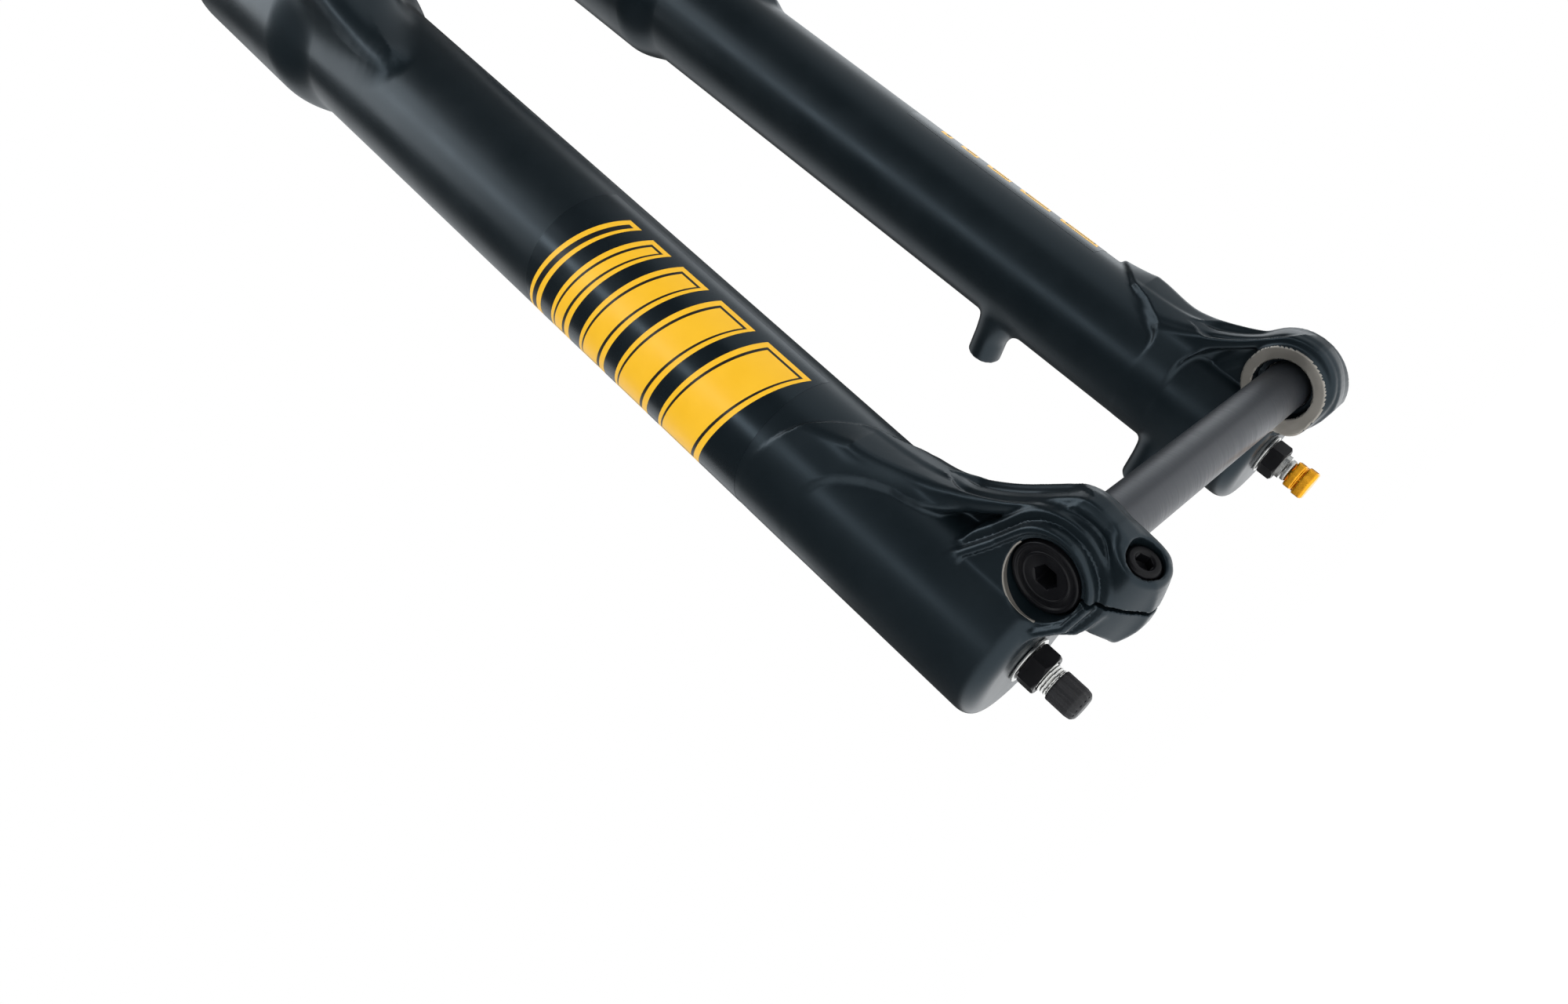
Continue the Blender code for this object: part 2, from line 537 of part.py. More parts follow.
def make_air_top(uppers):
    """The right stanchion's cap with the main air chamber's valve."""
    place = stanchion_place("right")
    thread = STANCHION_INSIDE - GAP
    cap = [(4.2, -24), (thread, -24), (thread, STANCHION_TOP + GAP), (17.7, STANCHION_TOP + GAP),
           (17.7, -3.8), (15.5, -2.0), (4.2, -2.0)]
    piece("air_top_cap", lathe(cap), "black_anodised", uppers, place)
    stem = [(0, -20), (3.85, -20), (3.85, 5.2), (1.6, 5.2), (1.6, -10), (0, -10)]
    piece("valve_stem_top", lathe(stem), "steel", uppers, place)
    cover = [(0, 5.6), (4.2, 5.6), (4.2, -1.6), (5.9, -1.6), (5.9, 7.4), (4.8, 9.0), (0, 9.0)]
    piece("valve_cap_top", flute(lathe(cover, ROUND), 8, 0.4, 5.0), "black_plastic", uppers, place)


def make_travel_ring(uppers):
    """The rubber ring on the right stanchion that the wiper pushes up to show the travel used."""
    base = LEG_TOP + 8 - AXLE_TO_CROWN
    section = arc((STANCHION_RADIUS + 1.0, base + 1.4), 0.85, 0, 300, 6)
    piece("travel_ring", lathe(section), "seal_rubber", uppers, stanchion_place("right"))


def main():
    clear_scene()
    uppers = group("uppers", (0, 0, 0))
    lowers = group("lowers", (0, AXLE_Y, AXLE_Z))
    axle_group = group("axle_line", (0, AXLE_Y, AXLE_Z))
    make_lowers(lowers, axle_group)
    make_hose_guide(lowers)
    make_crown(uppers)
    make_steerer(uppers)
    make_stanchions(uppers)
    make_damper_top(uppers)
    make_air_top(uppers)
    make_travel_ring(uppers)


main()
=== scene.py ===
"""Looks for the suspension fork: the sculpted casting and crown, every turned piece in fine
detail, the graphics on the legs, procedural finishes, and a plain studio around it.

Lengths are in millimetres until a mesh is made. The lowers are shaped in their own coordinates:
u is the distance from the mid-plane, y points to the rear and z up, all from the axle's centre.
"""
import json
import math

import bpy
import numpy as np
from mathutils import Matrix, Vector

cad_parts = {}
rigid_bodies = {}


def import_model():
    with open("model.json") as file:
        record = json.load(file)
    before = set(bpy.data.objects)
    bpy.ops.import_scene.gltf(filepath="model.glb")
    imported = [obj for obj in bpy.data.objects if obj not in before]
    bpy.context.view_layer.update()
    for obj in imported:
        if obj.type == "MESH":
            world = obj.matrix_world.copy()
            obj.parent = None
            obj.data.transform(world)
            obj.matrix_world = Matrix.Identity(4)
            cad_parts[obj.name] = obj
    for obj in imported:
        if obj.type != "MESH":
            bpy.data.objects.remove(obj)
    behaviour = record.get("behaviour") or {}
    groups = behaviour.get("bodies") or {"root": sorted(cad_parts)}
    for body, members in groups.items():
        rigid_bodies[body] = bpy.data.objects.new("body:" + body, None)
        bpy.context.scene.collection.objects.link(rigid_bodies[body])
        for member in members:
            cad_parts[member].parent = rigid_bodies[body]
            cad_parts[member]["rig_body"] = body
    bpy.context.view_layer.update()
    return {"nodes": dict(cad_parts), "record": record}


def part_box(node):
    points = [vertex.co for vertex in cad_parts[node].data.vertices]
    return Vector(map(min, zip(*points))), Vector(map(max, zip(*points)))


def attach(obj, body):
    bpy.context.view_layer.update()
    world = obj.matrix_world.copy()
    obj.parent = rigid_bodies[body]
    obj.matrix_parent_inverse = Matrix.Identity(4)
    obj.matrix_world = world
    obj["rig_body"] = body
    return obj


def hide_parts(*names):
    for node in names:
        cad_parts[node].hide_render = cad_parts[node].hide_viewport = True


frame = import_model()

MM = 0.001
SIDES = {"left": 1, "right": -1}


def middle(node):
    low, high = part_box(node)
    return (low + high) / 2 / MM


def size(node):
    low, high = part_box(node)
    return (high - low) / MM


# Driving sizes, read from the frame
AXLE = Vector((0.0, middle("axle").y, middle("axle").z))
LEG_X = middle("stanchion_left").x
LEG_Y = middle("stanchion_left").y - AXLE.y
STANCHION_R = size("stanchion_left").x / 2
STANCHION_LOW = (middle("stanchion_left") - size("stanchion_left") / 2).z
STANCHION_HIGH = (middle("stanchion_left") + size("stanchion_left") / 2).z
STEERER_TOP = (middle("steerer_tube") + size("steerer_tube") / 2).z
STEERER_LOW = (middle("steerer_tube") - size("steerer_tube") / 2).z
CROWN_LOW = (middle("crown") - size("crown") / 2).z

# The legs of the casting
LEG_R = 21.0
LEG_R_TOP = 21.7
COLLAR_R = 26.0
COLLAR_LOW = 285.0
LEG_TOP = 350.0
FOOT_LOW = -5.6
FOOT_TOP = 8.0
FOOT_HOLE_R = 5.4
BORE_R = 19.2
SEAT_R = 23.0
SEAT_LOW = 331.0
BAND_RAISE = 1.3
ENDS_MEET = 180.0

# The dropouts
HUB_FACE = 55.0
FLANGE_IN = 56.0
WEB_IN = 59.3
WEB_OUT = 62.6
HUB_RING_R = 13.6
AXLE_HOLE_R = 7.8
HEAD_HOLE_R = 9.9
HEAD_SHOULDER = 60.0
INSERT_LOW = 62.0
INSERT_HOLE_R = 9.8
HUB_RECESS_R = 9.6
LAND_R = 13.2
SLIT = 1.2
SLIT_START = 6.0
LEAN = math.radians(14.0)
PINCH_U = 61.5
PINCH_Y = -2.4
PINCH_Z = -14.1
PINCH_TILT = math.radians(5.0)
PINCH_SEAT = 9.0
PINCH_HEAD_HOLE_R = 4.9
PINCH_SHANK_HOLE_R = 2.9

# The brake posts and the arch
POST_U = 55.0
POST_HEIGHTS = (23.4, 97.6)
POST_FACE = 61.5
POST_R = 6.2
POST_HOLE_R = 2.6
POST_HOLE_DEPTH = 13
ARCH_FRONT = -14.0
ARCH_BACK = 3.5

# The grid of the sculpted casting, as (start, end, spacing) stretches
GRID_U = ((0, 42, 2.0), (42, 53, 1.0), (53, 73, 0.62), (73, 94, 1.0))
GRID_Y = ((-27, -9, 0.62), (-9, 0, 0.42), (0, 14, 0.62), (14, 64, 1.05))
GRID_Z = ((-27, 34, 0.62), (34, 78, 0.8), (78, 110, 1.3), (110, 246, 5.0), (246, 300, 1.2), (300, 406, 1.3))
CASTING_TRIANGLES = 190000
CROWN_TRIANGLES = 120000


# ---------------------------------------------------------------- distance fields

def smooth_max(a, b, k):
    """The larger of two distances, with the corner between them rounded over about k."""
    blend = np.maximum(k - np.abs(a - b), 0.0)
    return np.maximum(a, b) + blend * blend / (4.0 * k)


def smooth_min(a, b, k):
    return -smooth_max(-a, -b, k)


def ramp(low, high, value):
    """Goes smoothly from 0 at low to 1 at high, and stays level beyond both."""
    t = np.clip((value - low) / (high - low), 0.0, 1.0)
    return t * t * (3.0 - 2.0 * t)


def slab(value, low, high):
    """Distance outside the space between two values, negative inside."""
    return np.maximum(low - value, value - high)


def spline(points, pieces=4):
    """A smooth closed outline through the points."""
    p = np.array(points, float)
    before, after, beyond = np.roll(p, 1, 0), np.roll(p, -1, 0), np.roll(p, -2, 0)
    rows = []
    for t in np.arange(pieces) / pieces:
        rows.append(0.5 * (2 * p + (after - before) * t + (2 * before - 5 * p + 4 * after - beyond) * t ** 2
                           + (3 * p - before - 3 * after + beyond) * t ** 3))
    return np.stack(rows, 1).reshape(-1, 2)


def outline_distance(a, b, outline):
    """Signed distance from (a, b) to a closed outline, negative inside."""
    a, b = np.broadcast_arrays(np.asarray(a, np.float32), np.asarray(b, np.float32))
    nearest = np.full(a.shape, 1e9, np.float32)
    inside = np.zeros(a.shape, bool)
    for (ax, ay), (bx, by) in zip(outline, np.roll(outline, -1, 0)):
        ex, ey = np.float32(bx - ax), np.float32(by - ay)
        wx, wy = a - np.float32(ax), b - np.float32(ay)
        t = np.clip((wx * ex + wy * ey) / (ex * ex + ey * ey + 1e-12), 0, 1)
        nearest = np.minimum(nearest, (wx - ex * t) ** 2 + (wy - ey * t) ** 2)
        above = (ay <= b) != (by <= b)
        if abs(ey) > 1e-9:
            inside ^= above & ((wx * ey > wy * ex) == (ey > 0))
    return np.where(inside, -1.0, 1.0) * np.sqrt(nearest)


def round_points(radius, start, end, count, centre=(0.0, 0.0)):
    angles = np.radians(np.linspace(start, end, count))
    return [(centre[0] + radius * math.cos(a), centre[1] + radius * math.sin(a)) for a in angles]


# Side views of the dropouts as (y, z). The arm leaves the leg at the top and rounds the axle.
ARM_TOP = [(34, 53), (22, 52.6), (15.4, 50.9), (12.2, 49.0), (10.2, 46.0), (8.2, 42.0), (4.4, 34)]
ARM = {
    "right": ARM_TOP + [(-0.6, 26.6), (-5.8, 20.2), (-12, 13.7), (-17.6, 7.6), (-20.2, 1.6), (-19.8, -4.6),
                        (-18.0, -10.6), (-16.2, -16.2), (-12.0, -20.6), (-5, -22.8), (1.5, -22.6), (7, -19.6),
                        (9.8, -14.6), (13, -9.6), (19, -4.0), (34, 0)],
    "left": ARM_TOP + [(-0.4, 26.0), (-5.4, 19.0), (-10.8, 12.8), (-15.2, 7.6), (-17.2, 1), (-16.4, -5.4),
                       (-12.4, -11.2), (-5, -14.6), (4, -13.0), (12, -9.0), (20, -3.8), (34, 0)],
}
HOLLOW_TOP = [(36, 39), (24, 38.6), (19.6, 37.6), (14.5, 35.4), (10.6, 34), (8.6, 31.4), (6.3, 27.5),
              (0, 19.8)]
HOLLOW = {
    "right": HOLLOW_TOP + [(-8, 11.4), (-13.6, 4), (-15.0, -3), (-12, -9), (-4, -11), (6, -9.5), (16, -5),
                           (36, -1)],
    "left": HOLLOW_TOP + [(-6.8, 11.6), (-10.8, 5), (-12.2, -1), (-10, -7), (-3, -10), (6, -9), (16, -5),
                          (36, -1)],
}
ARM = {side: spline(points) for side, points in ARM.items()}
HOLLOW = {side: spline(points) for side, points in HOLLOW.items()}
TEARDROP = np.array([(34, 35), (16.5, 25.6), (9, 21.2), (1, 15.7)]
                    + round_points(LAND_R, 118, 262, 22) + [(6, -11.4), (11, -7.4), (18, -2), (34, 3)])

# Where the band's upper ridge and lower crease cross the round of the leg, as u and z
RIDGE = np.array([(56, 42), (61.5, 51.4), (64.3, 59), (66.7, 62.2), (69.6, 65.3), (74.6, 69.6), (80, 74.2),
                  (90, 79)])
CREASE = np.array([(66, 31), (70, 33.5), (72.3, 36.5), (73.4, 40), (74.2, 44.1), (76.6, 49.9), (80.1, 55.7),
                   (83.2, 59.2), (90, 64)])

# Front view of half the arch as (x, z), mirrored into the whole
ARCH_HALF = [(0, 403), (22, 401), (44, 392), (64, 373), (78, 347), (84, 318), (85, 290), (83.5, 266),
             (80.5, 254), (75.5, 252.6), (69, 262), (62, 276), (54, 292), (47.5, 306), (44.5, 322),
             (40.5, 343), (31, 362), (17, 375), (0, 380)]
ARCH = spline(ARCH_HALF + [(-x, z) for x, z in ARCH_HALF[-2:0:-1]])


def leg(u, y, z):
    """The round leg: a slight taper, a collar for the bushing and seal, and a rounded foot."""
    radius = LEG_R + (LEG_R_TOP - LEG_R) * np.clip(z / COLLAR_LOW, 0, 1)
    radius = radius + (COLLAR_R - LEG_R_TOP) * ramp(COLLAR_LOW - 1, COLLAR_LOW + 17, z)
    around = np.hypot(u - LEG_X, y - LEG_Y) - radius
    return smooth_max(smooth_max(around, FOOT_LOW - z, 5.5), z - LEG_TOP, 1.6)


def leg_bores(u, y, z):
    around = np.hypot(u - LEG_X, y - LEG_Y)
    bore = np.maximum(around - BORE_R, FOOT_TOP - z)
    seat = np.maximum(around - SEAT_R, SEAT_LOW - z)
    hole = np.maximum(around - FOOT_HOLE_R, z - FOOT_TOP - 2)
    return np.minimum(np.minimum(bore, seat), hole)


def land_face(y):
    """How far out the raised land at the axle stands: it slopes up towards the leg."""
    return 70.9 + 0.12 * np.minimum(y, 0.0) + 0.35 * np.maximum(y, 0.0)


def dropout(side, u, y, z):
    """The arm from the leg to the axle: a flange round a web, with a raised land at the axle."""
    outwards = 1.0 - np.exp(-np.maximum(u - HUB_FACE, 0.0) / 8.0)
    lowered = z - 25.0 * outwards * np.clip((z - 12.0) / 46.0, 0, 1) ** 2
    channel_window = ramp(39, 28, z) * ramp(1, 9, z)
    channel = 1.7 * channel_window * ramp(1.15, 0.55, np.abs(u - 61.6) / (0.6 + 4.6 * channel_window))
    groove = 0.9 * ramp(34, 26, z) * ramp(5, 11, z) * np.exp(-((u - 59.4) / 0.75) ** 2)
    arm = outline_distance(y, lowered, ARM[side]) + channel + groove
    hollow = outline_distance(y, lowered, HOLLOW[side])
    band = smooth_max(arm, -hollow, 1.6)
    outside = 66.2 + 3.6 * ramp(6, 38, z) + 5.0 * ramp(37, 58, z) - 0.33 * np.maximum(-9.0 - z, 0.0)
    softness = 2.4 + 7.0 * ramp(14, 2, z)
    flange = smooth_max(smooth_max(band, u - outside, softness), FLANGE_IN - u, 1.6)
    web = smooth_max(arm, slab(u, WEB_IN, WEB_OUT), 1.0)
    around = np.hypot(u - LEG_X, y - LEG_Y)
    fade = ramp(24.0, 9.0, y)
    ridge = 0.75 * (z - np.interp(u, RIDGE[:, 0], RIDGE[:, 1]))
    crease = 0.6 * (np.interp(u, CREASE[:, 0], CREASE[:, 1]) - z)
    raised = smooth_max(around - LEG_R + 0.5 - (0.5 + BAND_RAISE) * fade, smooth_max(ridge, crease, 1.2), 0.9)
    body = smooth_min(smooth_min(flange, web, 2.4), raised, 6.0)
    plane = land_face(y)
    land = outline_distance(y, z, TEARDROP)
    top = smooth_max(land, slab(u, WEB_IN, plane), 0.7)
    rib = smooth_max(np.abs(land + 1.0) - 1.0, slab(u, WEB_IN, plane + 0.9), 0.9)
    lower_step = smooth_max(land - 2.7 + 1.6 * ramp(3, 11, y), slab(u, WEB_IN, plane - 2.0), 0.9)
    raised_land = smooth_min(np.minimum(top, lower_step), rib, 0.5)
    return body, raised_land


def hub_ring(side, u, y, z):
    """The machined face that the hub stands on, with a small tongue below it at the rear."""
    ring = np.hypot(y, z) - HUB_RING_R
    tongue = np.hypot(y - 7.2, z + 7.0) - 5.2
    shape = ring if side == "right" else smooth_min(ring, tongue, 3.0)
    return smooth_max(shape, slab(u, HUB_FACE, WEB_OUT + 2), 0.5)


def pinch_line(y, z, u):
    """Distance along and away from the pinch bolt's axis."""
    along = (y - PINCH_Y) * -math.cos(PINCH_TILT) + (z - PINCH_Z) * -math.sin(PINCH_TILT)
    across = (y - PINCH_Y) * -math.sin(PINCH_TILT) + (z - PINCH_Z) * math.cos(PINCH_TILT)
    return along, np.hypot(across, u - PINCH_U)


def brake_posts(u, y, z):
    posts = None
    for height in POST_HEIGHTS:
        foot = 1.0 - ramp(34, 54, y)
        stretch = 1.0 + np.where(z < height, 1.3, 0.1) * foot
        around = np.hypot(u - POST_U, (z - height) / stretch) - POST_R - 0.8 * foot
        post = smooth_max(around, slab(y, 34, POST_FACE), 1.0)
        posts = post if posts is None else np.minimum(posts, post)
    return posts


def low_end(side, u, y, z):
    """The lower end of one side: leg, dropout, axle bores, and its clamp or brake posts."""
    tube = leg(u, y, z)
    body, land = dropout(side, u, y, z)
    shape = smooth_min(smooth_min(body, tube, 1.1), hub_ring(side, u, y, z), 1.8)
    if side == "right":
        along, away = pinch_line(y, z, u)
        lobe = smooth_max(away - 6.3, slab(along, -9.0, 13.4), 1.6)
        shape = smooth_min(shape, lobe, 5.0)
    shape = smooth_min(shape, land, 1.4)
    if side == "left":
        shape = smooth_min(shape, brake_posts(u, y, z), 2.0)
        for height in POST_HEIGHTS:
            hole = np.maximum(np.hypot(u - POST_U, z - height) - POST_HOLE_R,
                              POST_FACE - POST_HOLE_DEPTH - y)
            shape = np.maximum(shape, -hole)
    radius = np.hypot(y, z)
    if side == "right":
        head = np.maximum(radius - HEAD_HOLE_R, HEAD_SHOULDER - u)
        shape = smooth_max(shape, -head, 0.5)
        across = y * math.cos(LEAN) - z * math.sin(LEAN)
        down = -y * math.sin(LEAN) - z * math.cos(LEAN)
        shape = np.maximum(shape, -np.maximum(np.abs(across) - SLIT / 2, SLIT_START - down))
        scoop = np.maximum(away - PINCH_HEAD_HOLE_R, PINCH_SEAT - along)
        shank = np.maximum(away - PINCH_SHANK_HOLE_R, -9.0 - along)
        shape = smooth_max(shape, -scoop, 0.7)
        shape = np.maximum(shape, -shank)
    else:
        insert = np.maximum(radius - INSERT_HOLE_R, INSERT_LOW - u)
        recess = np.maximum(radius - HUB_RECESS_R, slab(u, HUB_FACE - 5, HUB_FACE + 3.4))
        shape = smooth_max(shape, -np.minimum(insert, recess), 0.4)
    shape = smooth_max(shape, AXLE_HOLE_R - radius, 0.3)
    return np.maximum(shape, -leg_bores(u, y, z))


def high_end(u, y, z):
    """The upper end: collar, arch strut and arch, with the hollow back of the arch."""
    tube = leg(u, y, z)
    arch = outline_distance(u, z, ARCH)
    front = ARCH_FRONT + 20.0 * ramp(326, 256, z) + 2.5 * ramp(60, 0, u)
    back = ARCH_BACK + 16.0 * ramp(352, 330, z)
    strut = smooth_max(arch, slab(y, front, back), 9.0)
    pocket = smooth_max(smooth_max(arch + 5.2, -4.5 - y, 2.0), 358 - z, 4.0)
    strut = smooth_max(strut, -pocket, 1.5)
    return np.maximum(smooth_min(tube, strut, 5.0), -leg_bores(u, y, z))


def crown(x, y, z):
    """Signed distance to the crown: two clamps, an arched bridge and the race seat's boss."""
    u = np.abs(x)
    leg_y = LEG_Y + AXLE.y
    around = np.hypot(u - LEG_X, y - leg_y)
    clamp = smooth_max(around - 23.0, slab(z, CROWN_LOW, -8.0), 2.4)
    saddle = -8.0 - 7.0 * np.exp(-((u - 37.0) / 9.0) ** 2)
    width_front = -31.0 - 4.0 * ramp(20, 60, u)
    width_back = 24.0 - 20.0 * ramp(16, 60, u)
    bridge = smooth_max(slab(y, width_front, width_back), slab(z, CROWN_LOW, saddle), 9.0)
    bridge = smooth_max(bridge, u - LEG_X, 2.0)
    boss = smooth_max(np.hypot(x, y) - 26.0, slab(z, CROWN_LOW + 22, 0.0), 1.4)
    shape = smooth_min(smooth_min(bridge, clamp, 6.0), boss, 4.0)
    shape = smooth_max(shape, CROWN_LOW - z, 1.0)
    rise, half_span = 20.0, 41.0
    radius = (half_span ** 2 + rise ** 2) / (2 * rise)
    vault = np.hypot(x, z - (CROWN_LOW + rise - radius)) - radius
    shape = smooth_max(shape, -vault, 3.0)
    shape = smooth_max(shape, 20.25 - np.hypot(x, y), 0.5)
    return smooth_max(shape, STANCHION_R + 0.3 - around, 0.5)


# ---------------------------------------------------------------- surfaces from fields

def marks(stretches, mirrored=False):
    """The places of a grid's planes along one axis, mirrored about zero or not."""
    values = [np.arange(low, high, gap) for low, high, gap in stretches]
    values = np.append(np.concatenate(values), stretches[-1][1])
    return np.concatenate([-values[:0:-1], values]) if mirrored else values


def surface_net(xs, ys, zs, values):
    """Quads along the zero level of a field sampled on a grid, one vertex for each crossed cell."""
    inside = values < 0
    shape = tuple(n - 1 for n in values.shape)
    count = np.zeros(shape, np.int8)
    corners = [(i, j, k) for i in (0, 1) for j in (0, 1) for k in (0, 1)]
    for i, j, k in corners:
        count += inside[i:i + shape[0], j:j + shape[1], k:k + shape[2]]
    cells = np.argwhere((count > 0) & (count < 8))
    number = np.full(shape, -1, np.int64)
    number[tuple(cells.T)] = np.arange(len(cells))
    total, crossings = np.zeros((len(cells), 3)), np.zeros((len(cells), 1))
    axes = (xs, ys, zs)
    for start in corners:
        for axis in range(3):
            if start[axis]:
                continue
            end = tuple(s + (axis == n) for n, s in enumerate(start))
            a_index, b_index = cells + start, cells + end
            a, b = values[tuple(a_index.T)], values[tuple(b_index.T)]
            crossed = (a < 0) != (b < 0)
            t = np.where(crossed, a / np.where(crossed, a - b, 1.0), 0.0)
            for n in range(3):
                low, high = axes[n][a_index[:, n]], axes[n][b_index[:, n]]
                total[:, n] += np.where(crossed, low + (high - low) * t, 0.0)
            crossings[:, 0] += crossed
    quads = []
    for axis in range(3):
        one, two = [n for n in range(3) if n != axis]
        low = [slice(1, -1)] * 3
        low[axis] = slice(0, -1)
        high = list(low)
        high[axis] = slice(1, None)
        a, b = inside[tuple(low)], inside[tuple(high)]
        edges = np.argwhere(a != b)
        if not len(edges):
            continue
        outward = a[tuple(edges.T)]
        offset = np.ones(3, int)
        offset[axis] = 0
        edges = edges + offset
        ring = []
        for d1, d2 in ((0, 0), (1, 0), (1, 1), (0, 1)):
            cell = edges.copy()
            cell[:, one] -= d1
            cell[:, two] -= d2
            ring.append(number[tuple(cell.T)])
        ring = np.stack(ring, 1)
        flip = outward != (axis != 1)
        ring[flip] = ring[flip][:, ::-1]
        quads.append(ring)
    return total / crossings, np.concatenate(quads)


def gradient(field, points, reach):
    slopes = np.zeros_like(points)
    for axis in range(3):
        move = np.zeros(3)
        move[axis] = reach
        slopes[:, axis] = (field(points + move) - field(points - move)) / (2 * reach)
    return slopes


def settle(field, points, limit, rounds=2):
    """Moves points onto the field's zero level, each by no more than a limit a round."""
    for _ in range(rounds):
        slopes = gradient(field, points, 0.05)
        push = field(points)[:, None] * slopes / np.maximum((slopes ** 2).sum(1, keepdims=True), 0.05)
        length = np.linalg.norm(push, axis=1, keepdims=True)
        points = points - push * np.minimum(1.0, limit / np.maximum(length, 1e-9))
    return points


def casting_at(points):
    """The casting's distance at loose points, worked out side by side and end by end."""
    values = np.empty(len(points))
    x, y, z = points.T
    low = z < ENDS_MEET
    for side, sided in (("left", x > 0), ("right", x <= 0)):
        here, above = sided & low, sided & ~low
        values[here] = low_end(side, np.abs(x[here]), y[here], z[here])
        values[above] = high_end(np.abs(x[above]), y[above], z[above])
    return values


def add_mesh(name, vertices, faces, sharp_from=None):
    """A mesh object, smooth but for edges that turn by more than sharp_from degrees."""
    mesh = bpy.data.meshes.new(name)
    mesh.from_pydata(vertices, [], faces)
    if sharp_from:
        mesh.shade_smooth()
        mesh.set_sharp_from_angle(angle=math.radians(sharp_from))
    obj = bpy.data.objects.new(name, mesh)
    bpy.context.scene.collection.objects.link(obj)
    return obj


def sculpt(name, points, faces, field, budget, origin, reach=0.22):
    """A smooth mesh object from a surface net: settled on its field, thinned out where it is
    plain, and shaded with the field's own directions."""
    obj = add_mesh(name, points.tolist(), faces.tolist())
    if budget < 2 * len(faces):
        thin = obj.modifiers.new("thin", "DECIMATE")
        thin.ratio = budget / (2 * len(faces))
        bpy.context.view_layer.update()
        evaluated = obj.evaluated_get(bpy.context.evaluated_depsgraph_get())
        obj.data = bpy.data.meshes.new_from_object(evaluated)
        obj.modifiers.clear()
    mesh = obj.data
    rest = np.empty(len(mesh.vertices) * 3)
    mesh.vertices.foreach_get("co", rest)
    rest = settle(field, rest.reshape(-1, 3), 0.15, 1)
    normals = gradient(field, rest, reach)
    normals /= np.maximum(np.linalg.norm(normals, axis=1, keepdims=True), 1e-9)
    rest = (rest + np.array(origin)) * MM
    mesh.vertices.foreach_set("co", rest.ravel())
    mesh.update()
    mesh.shade_smooth()
    mesh.normals_split_custom_set_from_vertices(normals.tolist())
    return obj


def make_casting():
    xs, ys, zs = marks(GRID_U, True), marks(GRID_Y), marks(GRID_Z)
    values = np.empty((len(xs), len(ys), len(zs)), np.float32)
    y, z = ys[None, :, None].astype(np.float32), zs[None, None, :].astype(np.float32)
    middle_x, split = np.searchsorted(xs, 0.0), np.searchsorted(zs, ENDS_MEET)
    for side, part in (("right", slice(0, middle_x)), ("left", slice(middle_x, None))):
        u = np.abs(xs[part, None, None].astype(np.float32))
        values[part, :, :split] = low_end(side, u, y, z[..., :split])
        values[part, :, split:] = high_end(u, y, z[..., split:])
    points, faces = surface_net(xs, ys, zs, values)
    points = settle(casting_at, points, 0.35)
    return sculpt("cast_lowers", points, faces, casting_at, CASTING_TRIANGLES, AXLE)


def crown_at(points):
    return crown(*points.T)


def make_crown():
    xs, ys, zs = marks(((0, 92, 1.05),), True), marks(((-41, 29, 1.05),)), marks(((CROWN_LOW - 2, 2, 1.05),))
    values = crown(xs[:, None, None], ys[None, :, None], zs[None, None, :])
    points, faces = surface_net(xs, ys, zs, values)
    points = settle(crown_at, points, 0.5)
    return sculpt("forged_crown", points, faces, crown_at, CROWN_TRIANGLES, (0, 0, 0))


# ---------------------------------------------------------------- finishes

